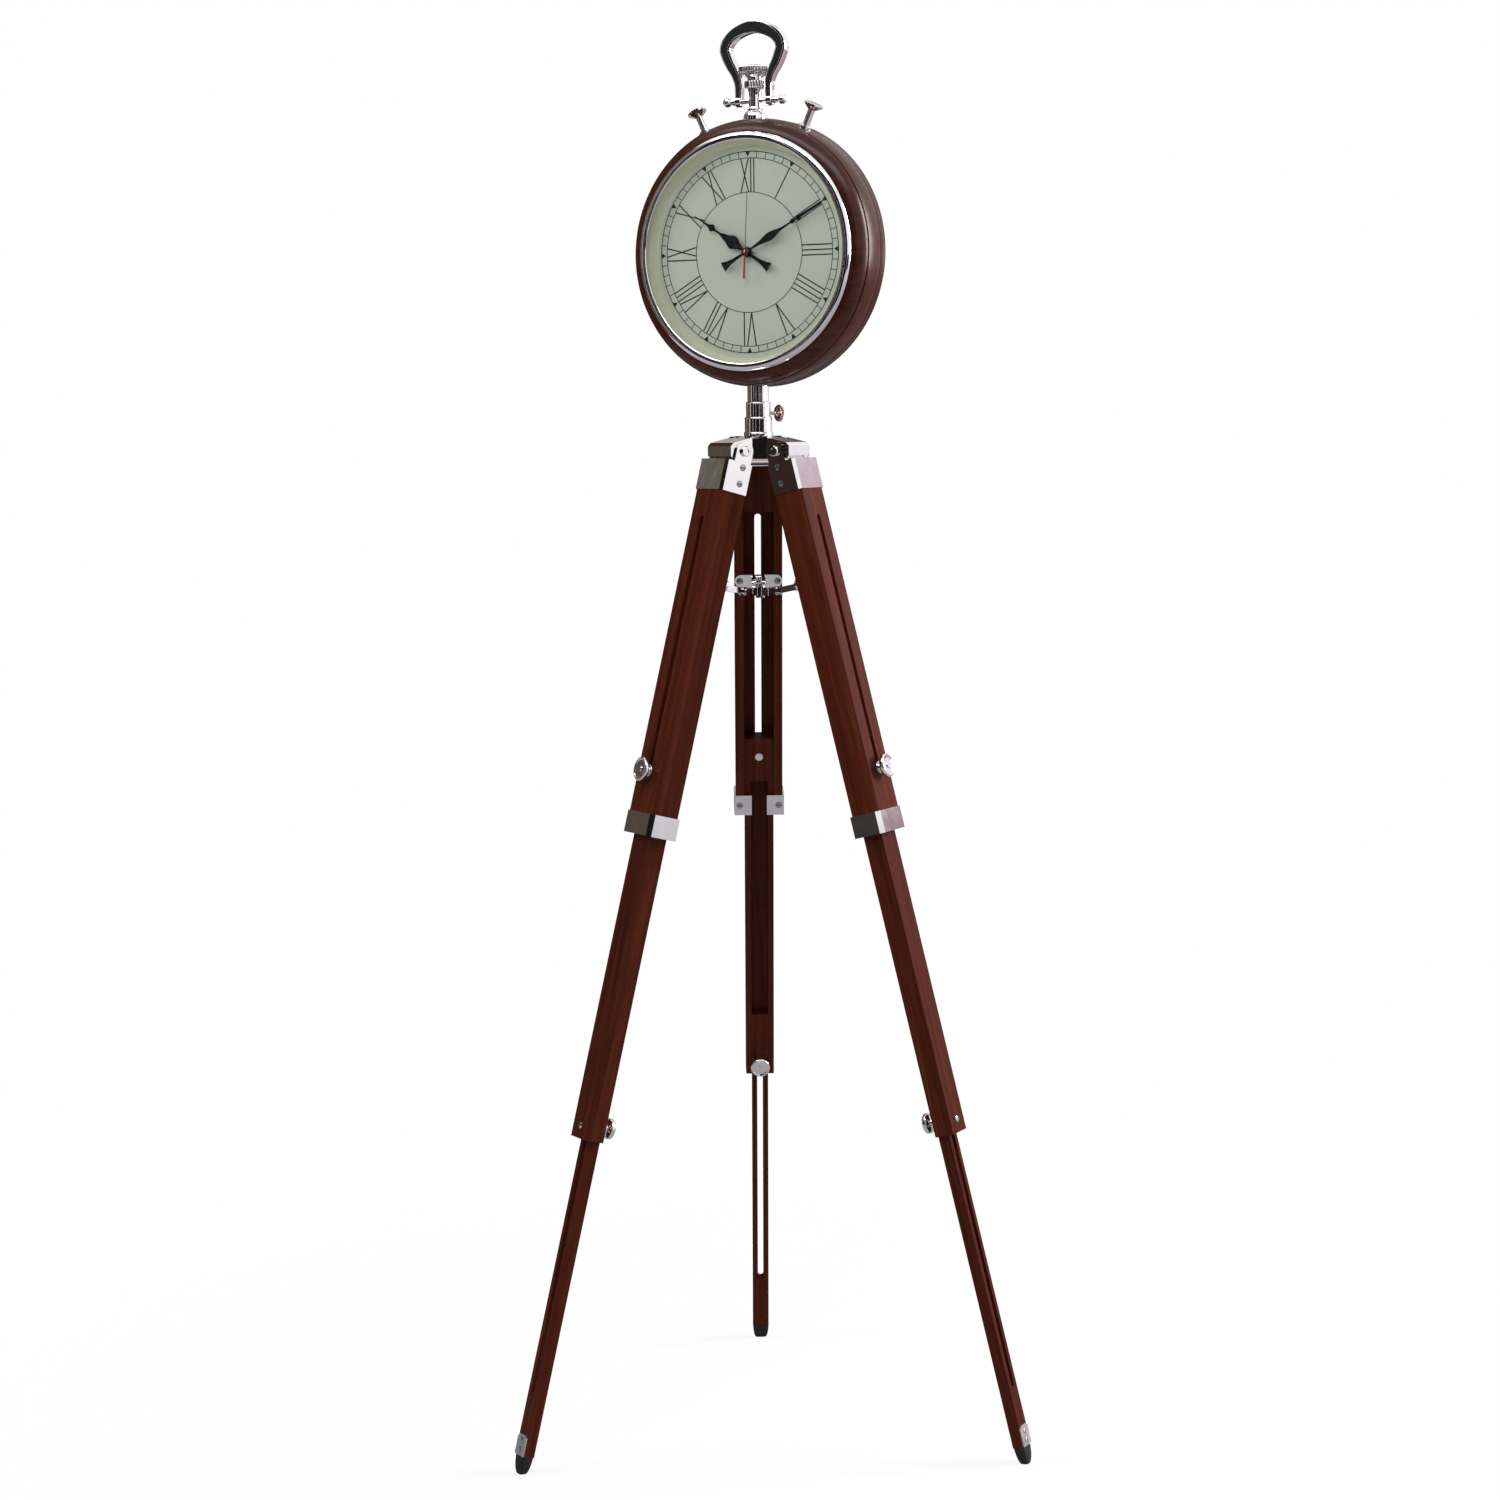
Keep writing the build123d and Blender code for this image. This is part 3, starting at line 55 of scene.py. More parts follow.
def turned(degrees, axis, size=4):
    """Rotation matrix about an axis."""
    return Matrix.Rotation(math.radians(degrees), size, axis)


def centre(box):
    """Middle of a box, in metres."""
    low, high = box
    return [(a + b) / 2 for a, b in zip(low, high)]


STEM = centre(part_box("stem_tube"))
AXIS = Vector((STEM[0], STEM[1], 0))
CLOCK_Z = centre(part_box("lens"))[2]
HINGE_Z = centre(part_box("hinge_bolts"))[2]

# Dial frame: X to the dial's right, Y up, Z forward, origin on the stem axis.
CLOCK = Matrix.Translation((AXIS.x, AXIS.y, CLOCK_Z)) @ turned(CLOCK_TURN, "Z") @ turned(90, "X")
# The same place with Z up, for what is turned about the clock's upright.
CLOCK_UP = CLOCK @ turned(-90, "X")


def leg_matrix(name):
    """Leg frame: X to the leg's outer face, Y across it, Z up along it, origin on the hinge."""
    place = Matrix.Translation(AXIS) @ turned(LEG_AZIMUTH[name], "Z")
    return place @ Matrix.Translation((HINGE_R * MM, 0, HINGE_Z)) @ turned(-SPLAY, "Y")


def leg_turn(name):
    """Rotation that brings a leg's length onto Z."""
    stand = turned(LEG_AZIMUTH[name], "Z", 3) @ turned(-SPLAY, "Y", 3)
    return stand.inverted().to_euler()


# Noise values stay mostly between these two
NOISE_RANGE = (0.3, 0.7)


# Shader helpers. Each adds nodes to a tree and gives back the socket to go on from.
def node_material(name):
    """New material with its Principled shader, nodes and links."""
    mat = bpy.data.materials.new(name)
    mat.use_nodes = True
    tree = mat.node_tree
    return mat, tree.nodes["Principled BSDF"], tree.nodes, tree.links


def bare_material(name):
    """New material without its Principled shader, with its nodes and links."""
    mat, shader, nodes, links = node_material(name)
    nodes.remove(shader)
    return mat, nodes, links


def grain_space(nodes, links, turn=(0, 0, 0), scale=(1, 1, 1)):
    """Object coordinates turned to the piece, then stretched along its length."""
    coord = nodes.new("ShaderNodeTexCoord")
    aligned = nodes.new("ShaderNodeMapping")
    aligned.inputs["Rotation"].default_value = turn
    stretched = nodes.new("ShaderNodeMapping")
    stretched.inputs["Scale"].default_value = scale
    links.new(coord.outputs["Object"], aligned.inputs["Vector"])
    links.new(aligned.outputs["Vector"], stretched.inputs["Vector"])
    return stretched.outputs["Vector"]


def noise(nodes, links, vector, scale, detail=4.0, rough=0.55, distort=0.0):
    """Noise value over a space."""
    tex = nodes.new("ShaderNodeTexNoise")
    tex.inputs["Scale"].default_value = scale
    tex.inputs["Detail"].default_value = detail
    tex.inputs["Roughness"].default_value = rough
    tex.inputs["Distortion"].default_value = distort
    links.new(vector, tex.inputs["Vector"])
    return tex.outputs["Fac"]


def ramp(nodes, links, value, stops):
    """Colour from a value, with stops of (position, colour)."""
    node = nodes.new("ShaderNodeValToRGB")
    elements = node.color_ramp.elements
    while len(elements) < len(stops):
        elements.new(0.5)
    for element, (place, colour) in zip(elements, stops):
        element.position = place
        element.color = (*colour, 1)
    links.new(value, node.inputs["Fac"])
    return node.outputs["Color"]


def spread(nodes, links, value, low, high, at=NOISE_RANGE):
    """Value mapped to a range; the default limits suit a noise value."""
    node = nodes.new("ShaderNodeMapRange")
    node.inputs["From Min"].default_value = at[0]
    node.inputs["From Max"].default_value = at[1]
    node.inputs["To Min"].default_value = low
    node.inputs["To Max"].default_value = high
    links.new(value, node.inputs["Value"])
    return node.outputs["Result"]


def two_tone(nodes, links, cloud, low, high):
    """Colour that clouds between two tones."""
    return ramp(nodes, links, cloud, tuple(zip(NOISE_RANGE, (low, high))))


def bump(nodes, links, shader, height, strength, distance=0.0003):
    """Relief on a shader's normal; distance in metres."""
    node = nodes.new("ShaderNodeBump")
    node.inputs["Strength"].default_value = strength
    node.inputs["Distance"].default_value = distance
    links.new(height, node.inputs["Height"])
    links.new(node.outputs["Normal"], shader.inputs["Normal"])


def multiply(nodes, links, first, second, share=1.0):
    """First colour darkened by a share of the second."""
    mix = nodes.new("ShaderNodeMix")
    mix.data_type = "RGBA"
    mix.blend_type = "MULTIPLY"
    mix.inputs["Factor"].default_value = share
    links.new(first, mix.inputs["A"])
    links.new(second, mix.inputs["B"])
    return mix.outputs["Result"]


def reckon(nodes, links, operation, first, second):
    """Math node on two values."""
    node = nodes.new("ShaderNodeMath")
    node.operation = operation
    links.new(first, node.inputs[0])
    links.new(second, node.inputs[1])
    return node.outputs["Value"]


def length(nodes, links, vector):
    """Length of a vector."""
    node = nodes.new("ShaderNodeVectorMath")
    node.operation = "LENGTH"
    links.new(vector, node.inputs[0])
    return node.outputs["Value"]


def mixed(nodes, links, share, first, second):
    """Mix of two shaders."""
    mix = nodes.new("ShaderNodeMixShader")
    links.new(share, mix.inputs["Fac"])
    links.new(first, mix.inputs[1])
    links.new(second, mix.inputs[2])
    return mix.outputs["Shader"]


def emission(nodes, colour):
    """Glowing shader node."""
    glow = nodes.new("ShaderNodeEmission")
    glow.inputs["Color"].default_value = (*colour, 1)
    return glow


def surface(nodes, links, shader):
    """Sets a material's surface."""
    links.new(shader, nodes["Material Output"].inputs["Surface"])


# Materials of the pieces. Tones are linear red, green and blue.
WOOD_TONES = ((0.036, 0.0060, 0.0022), (0.062, 0.0112, 0.0040), (0.098, 0.0200, 0.0080))
WOOD_STOPS = (0.28, 0.52, 0.78)
PORE_STOPS = ((0.35, (0.62, 0.58, 0.58)), (0.55, (1, 1, 1)))
FIGURE_SCALE = (150, 150, 5)
PORE_SCALE = (1100, 1100, 26)
PORE_SHARE = 0.6
WOOD_ROUGH = (0.46, 0.34)
WOOD_RELIEF = 0.03
NICKEL_TONE = (0.90, 0.885, 0.885)
PLATE_CLOUD = 90.0
PLATE_MARKS = 900.0
PLATE_DULL = 0.92
PLATE_RELIEF = (0.012, 0.0002)
GRIT = 12
# Radii, in metres, between which the dial's flat face turns into its sloping rim; the rim's tone
# there is lightened as painted light
DIAL_LIT_RIM_RADII = (0.1075, 0.109)
DIAL_CLOUD = 25.0
DIAL_GRIT = 300.0
DIAL_DULL = 0.96
DIAL_ROUGH = (0.55, 0.62)
DIAL_RELIEF = 0.02
GLASS_CLEAR = (0.985, 0.995, 0.985, 1)
GLASS_CLOUD = 30.0
GLASS_ROUGH = (0.02, 0.04)
GLASS_IOR = 1.18


def wood(name, turn, shade=1.0, gloss=0.05, coat=0.01, coat_rough=0.15):
    """Stained hardwood: broad figure, fine pores, satin lacquer."""
    mat, shader, nodes, links = node_material(name)
    broad = grain_space(nodes, links, turn, FIGURE_SCALE)
    fine = grain_space(nodes, links, turn, PORE_SCALE)
    figure = noise(nodes, links, broad, 1.0, detail=5.0, rough=0.6, distort=0.6)
    pores = noise(nodes, links, fine, 1.0, detail=3.0, rough=0.7)
    tones = [tuple(c * shade for c in tone) for tone in WOOD_TONES]
    colour = ramp(nodes, links, figure, tuple(zip(WOOD_STOPS, tones)))
    streak = ramp(nodes, links, pores, PORE_STOPS)
    links.new(multiply(nodes, links, colour, streak, PORE_SHARE), shader.inputs["Base Color"])
    links.new(spread(nodes, links, pores, *WOOD_ROUGH), shader.inputs["Roughness"])
    shader.inputs["Specular IOR Level"].default_value = gloss
    shader.inputs["Coat Weight"].default_value = coat
    shader.inputs["Coat Roughness"].default_value = coat_rough
    bump(nodes, links, shader, pores, WOOD_RELIEF)
    return mat


def plated(name, base=NICKEL_TONE, rough=(0.04, 0.10)):
    """Plated or polished metal with faint polishing marks."""
    mat, shader, nodes, links = node_material(name)
    space = grain_space(nodes, links)
    cloud = noise(nodes, links, space, PLATE_CLOUD)
    marks = noise(nodes, links, space, PLATE_MARKS, detail=2.0)
    tint = two_tone(nodes, links, cloud, tuple(c * PLATE_DULL for c in base), base)
    links.new(tint, shader.inputs["Base Color"])
    shader.inputs["Metallic"].default_value = 1.0
    links.new(spread(nodes, links, cloud, *rough), shader.inputs["Roughness"])
    bump(nodes, links, shader, marks, *PLATE_RELIEF)
    return mat


def mottled(name, low, high, rough, scale, relief=0.05, depth=0.0003, **sockets):
    """Painted, moulded or rubber surface with a slight mottle and a fine relief."""
    mat, shader, nodes, links = node_material(name)
    space = grain_space(nodes, links)
    cloud = noise(nodes, links, space, scale)
    grit = noise(nodes, links, space, scale * GRIT, detail=2.0)
    links.new(two_tone(nodes, links, cloud, low, high), shader.inputs["Base Color"])
    links.new(spread(nodes, links, cloud, *rough), shader.inputs["Roughness"])
    bump(nodes, links, shader, grit, relief, depth)
    for socket, value in sockets.items():
        shader.inputs[socket.replace("_", " ")].default_value = value
    return mat


def dial_paint(name, face, rim):
    """Matt dial paint, with the tone of the sloping rim as a factor of the face's: a lighter factor
    that paints light onto the rim, and a more olive tint of the rim's own.
    """
    mat, shader, nodes, links = node_material(name)
    coord = nodes.new("ShaderNodeTexCoord")
    place = nodes.new("ShaderNodeMapping")
    place.vector_type = "TEXTURE"
    place.inputs["Location"].default_value = CLOCK.to_translation()
    place.inputs["Rotation"].default_value = CLOCK.to_euler()
    links.new(coord.outputs["Object"], place.inputs["Vector"])
    flat = nodes.new("ShaderNodeVectorMath")
    flat.operation = "MULTIPLY"
    flat.inputs[1].default_value = (1, 1, 0)
    links.new(place.outputs["Vector"], flat.inputs[0])
    radius = length(nodes, links, flat.outputs["Vector"])
    cloud = noise(nodes, links, coord.outputs["Object"], DIAL_CLOUD)
    grit = noise(nodes, links, coord.outputs["Object"], DIAL_GRIT, detail=2.0)
    tone = two_tone(nodes, links, cloud, tuple(c * DIAL_DULL for c in face), face)
    slope = spread(nodes, links, radius, 0, 1, DIAL_LIT_RIM_RADII)
    # Lighter rim tone: painted light on the sloping rim
    shade = ramp(nodes, links, slope, ((0.0, (1, 1, 1)), (1.0, rim)))
    links.new(multiply(nodes, links, tone, shade), shader.inputs["Base Color"])
    links.new(spread(nodes, links, cloud, *DIAL_ROUGH), shader.inputs["Roughness"])
    bump(nodes, links, shader, grit, DIAL_RELIEF)
    return mat


def clear_glass(name):
    """Thin glass: see-through, with a fresnel gloss on the outer side of each face."""
    mat, nodes, links = bare_material(name)
    clear = nodes.new("ShaderNodeBsdfTransparent")
    clear.inputs["Color"].default_value = GLASS_CLEAR
    gloss = nodes.new("ShaderNodeBsdfGlossy")
    cloud = noise(nodes, links, grain_space(nodes, links), GLASS_CLOUD, detail=2.0)
    links.new(spread(nodes, links, cloud, *GLASS_ROUGH), gloss.inputs["Roughness"])
    fresnel = nodes.new("ShaderNodeFresnel")
    fresnel.inputs["IOR"].default_value = GLASS_IOR
    side = nodes.new("ShaderNodeNewGeometry")
    outer = spread(nodes, links, side.outputs["Backfacing"], 1, 0)
    share = reckon(nodes, links, "MULTIPLY", fresnel.outputs["Fac"], outer)
    surface(nodes, links, mixed(nodes, links, share, clear.outputs["BSDF"], gloss.outputs["BSDF"]))
    return mat


NICKEL = plated("nickel_plate")
STEEL = plated("zinc_plate", (0.56, 0.56, 0.54), (0.28, 0.4))
SCREW_STEEL = plated("screw_steel", (0.50, 0.48, 0.47), (0.22, 0.32))
CROWN_PLATE = plated("crown_plate", (0.70, 0.68, 0.67), (0.05, 0.10))
PLATE_STEEL = plated("foot_steel", (0.66, 0.65, 0.65), (0.30, 0.40))
# Darker, browner plating of the thumb screw
BROWN_THUMB_STEEL = plated("brown_thumb_steel", (0.42, 0.34, 0.31), (0.10, 0.18))
BRASS = plated("brown_brass", (0.35, 0.17, 0.09), (0.2, 0.3))
# Dark paint for the painted shade round screw heads and in their slots
SCREW_SHADE_PAINT = mottled("painted_screw_shade", (0.016, 0.014, 0.014), (0.03, 0.027, 0.026), (0.4, 0.5), 300.0)
INK = mottled("dial_ink", (0.010, 0.013, 0.011), (0.016, 0.018, 0.016), (0.5, 0.6), 200.0)
ENAMEL = mottled("black_enamel", (0.008, 0.008, 0.008), (0.014, 0.014, 0.014), (0.12, 0.22), 120.0,
                 relief=0.03, Coat_Weight=0.5, Coat_Roughness=0.08)
RED = mottled("red_lacquer", (0.30, 0.012, 0.012), (0.38, 0.018, 0.016), (0.3, 0.4), 150.0)
BLADE = mottled("grey_lacquer", (0.10, 0.095, 0.09), (0.14, 0.135, 0.13), (0.3, 0.4), 150.0)
BLACK_PLASTIC = mottled("black_plastic", (0.012, 0.012, 0.013), (0.02, 0.02, 0.021), (0.45, 0.6),
                        250.0, relief=0.12)
CELL = mottled("cell_sleeve", (0.10, 0.10, 0.11), (0.13, 0.13, 0.14), (0.3, 0.4), 80.0)
BOARD = mottled("back_board", (0.03, 0.017, 0.013), (0.05, 0.028, 0.02), (0.6, 0.75), 140.0,
                relief=0.3, depth=0.0006, Specular_IOR_Level=0.2)
RUBBER = mottled("black_rubber", (0.006, 0.006, 0.0065), (0.013, 0.013, 0.0135), (0.55, 0.75),
                 160.0, relief=0.35, depth=0.0006, Specular_IOR_Level=0.25)
# Rim factor above one: painted light on the sloping rim, with a slightly more olive tint of the
# rim's own
DIAL = dial_paint("dial_paint", (0.392, 0.417, 0.366), (1.20, 1.15, 1.02))
GLASS = clear_glass("clear_glass")
CASE_WOOD = wood("case_wood", Euler((0, math.radians(90), 0)), shade=0.62, gloss=0.04,
                 coat=0.40, coat_rough=0.24)

# CAD nodes by material; every other node is nickel plated
MATERIAL_OF = {
    "clock_case": CASE_WOOD, "lens": GLASS, "dial_pan": DIAL,
    "hour_hand": ENAMEL, "minute_hand": ENAMEL, "second_hand": BRASS,
    "movement_housing": BLACK_PLASTIC, "setting_knob": BLACK_PLASTIC, "battery": CELL,
    "back_cover": BOARD, "clock_fasteners": STEEL,
}
# Mid and lower legs are painted darker than the upper legs: painted shade
LEG_PAINTED_SHADE = {"upper_leg": 1.0, "mid_leg": 0.85, "lower_leg": 0.85}
for leg in LEG_AZIMUTH:
    for part, shade in LEG_PAINTED_SHADE.items():
        MATERIAL_OF[f"{part}_{leg}"] = wood(f"wood_{part}_{leg}", leg_turn(leg), shade)
    MATERIAL_OF[f"leg_screws_{leg}"] = SCREW_STEEL
    MATERIAL_OF[f"foot_plate_{leg}"] = PLATE_STEEL


def paint(obj, material):
    """Gives an object one material."""
    obj.data.materials.clear()
    obj.data.materials.append(material)


for name, obj in NODES.items():
    paint(obj, MATERIAL_OF.get(name, NICKEL))


# Rounded edges of the CAD nodes: width in millimetres
LEG_EDGES = {"upper_leg": 1.0, "mid_leg": 0.8, "lower_leg": 0.6, "leg_ferrules": 0.3,
             "foot_plate": 0.25, "spreader_bracket": 0.4, "spreader_arm": 0.6}
HEAD_EDGES = {"tripod_head": 0.7, "spreader_hub": 0.5, "hinge_bolts": 0.4}
EDGE_ANGLE = 35


def soften(name, width):
    """Rounds a CAD node's sharp edges."""
    mod = NODES[name].modifiers.new("rounded_edges", "BEVEL")
    mod.width = width * MM
    mod.segments = 2
    mod.limit_method = "ANGLE"
    mod.angle_limit = math.radians(EDGE_ANGLE)
    mod.harden_normals = False


for piece, width in LEG_EDGES.items():
    for leg in LEG_AZIMUTH:
        soften(f"{piece}_{leg}", width)
for name, width in HEAD_EDGES.items():
    soften(name, width)


# Mesh helpers. Points are in millimetres, and a matrix places them.
WELD = 1e-7
FLUTE_POWER = 1.5


def make(name, verts, faces, material, body, matrix, smooth=30, replaces=()):
    """Mesh object in place, riding on a body; edges past the smooth angle stay sharp."""
    mesh = bpy.data.meshes.new(name)
    mesh.from_pydata([matrix @ (Vector(v) * MM) for v in verts], [], faces)
    bm = bmesh.new()
    bm.from_mesh(mesh)
    bmesh.ops.remove_doubles(bm, verts=bm.verts, dist=WELD)
    bmesh.ops.recalc_face_normals(bm, faces=bm.faces)
    for face in bm.faces:
        face.smooth = smooth > 0
    for edge in bm.edges:
        if len(edge.link_faces) == 2 and edge.calc_face_angle() > math.radians(smooth or 1):
            edge.smooth = False
    bm.to_mesh(mesh)
    bm.free()
    obj = bpy.data.objects.new(name, mesh)
    bpy.context.scene.collection.objects.link(obj)
    paint(obj, material)
    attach(obj, body)
    if replaces:
        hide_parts(*replaces)


def join(verts, faces, more_verts, more_faces):
    """Adds one set of points and faces to another."""
    start = len(verts)
    verts += more_verts
    faces += [tuple(start + k for k in face) for face in more_faces]


def lathe(profile, segments, flutes=None):
    """Closed turned ring from a profile of (radius, height); flutes maps a profile index to
    (count, depth)."""
    verts, faces = [], []
    flutes = flutes or {}
    for step in range(segments):
        a = 2 * math.pi * step / segments
        for index, (radius, height) in enumerate(profile):
            if index in flutes:
                count, depth = flutes[index]
                radius -= depth * (0.5 + 0.5 * math.cos(count * a)) ** FLUTE_POWER
            verts.append((radius * math.cos(a), radius * math.sin(a), height))
    n = len(profile)
    for step in range(segments):
        here, there = step * n, (step + 1) % segments * n
        for index in range(n):
            follow = (index + 1) % n
            faces.append((here + index, there + index, there + follow, here + follow))
    return verts, faces


def prism(outline, low, high):
    """Flat prism from an outline of (x, y)."""
    n = len(outline)
    verts = [(x, y, low) for x, y in outline] + [(x, y, high) for x, y in outline]
    faces = [tuple(range(n, 2 * n)), tuple(range(n - 1, -1, -1))]
    faces += [(k, (k + 1) % n, (k + 1) % n + n, k + n) for k in range(n)]
    return verts, faces


def tube_faces(rows, around):
    """Faces of a tube with closed ends, whose points come in rows."""
    faces = []
    for row in range(rows - 1):
        for step in range(around):
            here, there = row * around + step, row * around + (step + 1) % around
            faces.append((here, there, there + around, here + around))
    faces.append(tuple(range(around)))
    faces.append(tuple((rows - 1) * around + k for k in reversed(range(around))))
    return faces


def ease(t):
    """Smooth step from 0 to 1."""
    return t * t * (3 - 2 * t)


def turned_piece(name, profile, segments, material, body, matrix, replaces=(), flutes=None,
                 smooth=30):
    """Turned object in place."""
    verts, faces = lathe(profile, segments, flutes)
    make(name, verts, faces, material, body, matrix, smooth, replaces)


def plate_piece(name, outline, low, high, material, body, matrix, replaces=()):
    """Flat object in place."""
    verts, faces = prism(outline, low, high)
    make(name, verts, faces, material, body, matrix, 25, replaces)


# Dial print
TRACK_OUTER = 105.0
TRACK_INNER = 98.2
INNER_RING = 62.8
LINE = 0.8
OUTER_LINE = LINE * 1.1
STROKE = 1.35
INK_LOW = DIAL_FRONT + 0.02
INK_HIGH = DIAL_FRONT + 0.10
RING_SEGMENTS = 240
# Hour mark: offset and radius of its corners
HOUR_MARK = ((0, 99.4), (2.8, 104.9), (-2.8, 104.9))
V_HALF = 5.2
X_HALF = 4.6
# Each numeral's strokes: ("I" or "V" or "X", offset clockwise)
NUMERALS = {
    1: (("I", 0),),
    2: (("I", -2.6), ("I", 2.6)),
    3: (("I", -5.3), ("I", 0), ("I", 5.3)),
    4: (("I", -8.0), ("I", -2.7), ("I", 2.7), ("I", 8.0)),
    5: (("V", 0),),
    6: (("V", -2.6), ("I", 6.2)),
    7: (("V", -6.2), ("I", 2.8), ("I", 7.4)),
    8: (("V", -8.6), ("I", 0), ("I", 4.9), ("I", 9.8)),
    9: (("I", -5.7), ("X", 3.0)),
    10: (("X", 0),),
    11: (("X", -2.6), ("I", 5.0)),
    12: (("X", -3.9), ("I", 3.4), ("I", 7.0)),
}
# Sideways lean of each stroke of a letter, as offsets at the inner and at the outer ring
LEANS = {
    "I": ((0, 0),),
    "V": ((0, -V_HALF), (0, V_HALF)),
    "X": ((X_HALF, -X_HALF), (-X_HALF, X_HALF)),
}
dial_verts, dial_faces = [], []


def ring_line(radius, width):
    """Printed circle."""
    inner, outer = radius - width / 2, radius + width / 2
    profile = ((inner, INK_LOW), (outer, INK_LOW), (outer, INK_HIGH), (inner, INK_HIGH))
    join(dial_verts, dial_faces, *lathe(profile, RING_SEGMENTS))


def hour_points(hour, places):
    """Points on the dial from (clockwise offset, radius) at an hour's place."""
    a = math.radians(90 - hour * 30)
    out, side = Vector((math.cos(a), math.sin(a))), Vector((math.sin(a), -math.cos(a)))
    return [out * radius + side * offset for offset, radius in places]


def stroke(hour, start, end, width):
    """Printed straight stroke between two places."""
    p, q = hour_points(hour, (start, end))
    along = (q - p).normalized()
    across = Vector((-along.y, along.x)) * width / 2
    corners = [tuple(v) for v in (p - across, q - across, q + across, p + across)]
    join(dial_verts, dial_faces, *prism(corners, INK_LOW, INK_HIGH))


def meet(offset, radius):
    """Offset, and the distance up the numeral's axis where it meets a ring."""
    return offset, math.sqrt(radius ** 2 - offset ** 2)


ring_line(TRACK_OUTER, OUTER_LINE)
ring_line(TRACK_INNER, LINE)
ring_line(INNER_RING, LINE)
for minute in range(60):
    if minute % 5:
        stroke(minute / 5, (0, TRACK_INNER), (0, TRACK_OUTER), LINE)
for hour, letters in NUMERALS.items():
    mark = [tuple(v) for v in hour_points(hour, HOUR_MARK)]
    join(dial_verts, dial_faces, *prism(mark, INK_LOW, INK_HIGH))
    for letter, offset in letters:
        for inner, outer in LEANS[letter]:
            start = meet(offset + inner, INNER_RING)
            end = meet(offset + outer, TRACK_INNER)
            stroke(hour, start, end, STROKE)
make("dial_print", dial_verts, dial_faces, INK, "clock", CLOCK, smooth=0)


# Hour and minute hands
HAND_THICK = 0.8
HAND_EDGE = 0.35
HAND_LEAST = 0.12
HUB_BORE = 0.4
HUB_UNDER = 0.02
STATION_STEPS = 14
# Tail of both hands, as (distance, half width)
FISHTAIL = [(-31.0, 5.4), (-29.6, 4.9), (-27.0, 4.0), (-24.0, 3.1), (-20.0, 2.3), (-15.0, 1.8),
            (-8.0, 1.6), (0.0, 1.6)]


def smooth_widths(stations):
    """Half widths between stations of (distance, half width), level at each station."""
    result = []
    for (y0, w0), (y1, w1) in zip(stations, stations[1:]):
        for k in range(STATION_STEPS):
            t = k / STATION_STEPS
            result.append((y0 + (y1 - y0) * t, w0 + (w1 - w0) * ease(t)))
    result.append(stations[-1])
    return result


def hand(name, stations, top, angle, ridge, rise, hub):
    """Embossed hand on its body: stations of (distance, half width), angle clockwise from 12,
    ridge as rise per half width up to a limit, hub of (radius, height)."""
    base, edge = top - HAND_THICK, top - HAND_EDGE
    outline = FISHTAIL + smooth_widths(stations)
    verts = []
    for y, w in outline:
        w = max(w, HAND_LEAST)
        crest = edge + min(rise, w * ridge)
        verts += [(-w, y, base), (-w, y, edge), (0, y, crest), (w, y, edge), (w, y, base)]
    faces = tube_faces(len(outline), 5)
    radius, height = hub
    boss = [(HUB_BORE, base - HUB_UNDER), (radius, base - HUB_UNDER), (radius, top + height * 0.5),
            (radius * 0.8, top + height), (HUB_BORE, top + height)]
    join(verts, faces, *lathe(boss, 40))
    make(name + "_embossed", verts, faces, ENAMEL, name,
         CLOCK @ turned(-angle, "Z"), 28, (name,))


hand("hour_hand", [(4.0, 1.3), (9.0, 2.6), (20.0, 7.3), (31.0, 3.2), (38.0, 1.1), (44.5, 1.0),
                   (49.5, 4.0), (55.0, 1.4), (60.0, 0.9), (74.0, 0.3)],
     top=23.0, angle=303.0, ridge=0.17, rise=1.15, hub=(5.4, 0.1))
hand("minute_hand", [(4.0, 1.0), (14.0, 1.5), (32.0, 4.4), (50.0, 1.3), (58.5, 1.0), (62.8, 2.7),
                     (66.4, 1.1), (70.0, 3.0), (73.6, 1.5), (76.0, 1.5), (98.0, 1.3), (104.0, 0.3)],
     top=25.2, angle=61.5, ridge=0.22, rise=0.9, hub=(4.4, 0.1))

# Second hand
SWEEP = CLOCK @ turned(-3.0, "Z")
BLADE_LOW = 26.6
BLADE_LINE = [(-0.42, 2.0), (0.42, 2.0), (0.30, 63.0), (-0.30, 63.0)]
TAIL_LINE = [(-1.25, -27.7), (1.25, -27.7), (0.75, -2.0), (-0.75, -2.0)]
HUB_LINE = [(0.9, 13.7), (0.9, 26.5), (4.1, 26.6), (4.1, 27.5), (3.7, 28.0), (1.6, 28.4),
            (1.6, 28.2), (0.02, 28.2), (0.02, 13.7)]
PIN_LINE = [(1.3, 28.2), (1.3, 28.5), (0.8, 28.75), (0.02, 28.8), (0.02, 28.2)]
plate_piece("second_blade", BLADE_LINE, BLADE_LOW, 27.2, BLADE, "second_hand", SWEEP,
            ("second_hand",))
plate_piece("second_tail", TAIL_LINE, BLADE_LOW, 27.3, RED, "second_hand", SWEEP)
turned_piece("second_hub", HUB_LINE, 48, BRASS, "second_hand", SWEEP)
turned_piece("second_pin", PIN_LINE, 32, NICKEL, "second_hand", SWEEP)

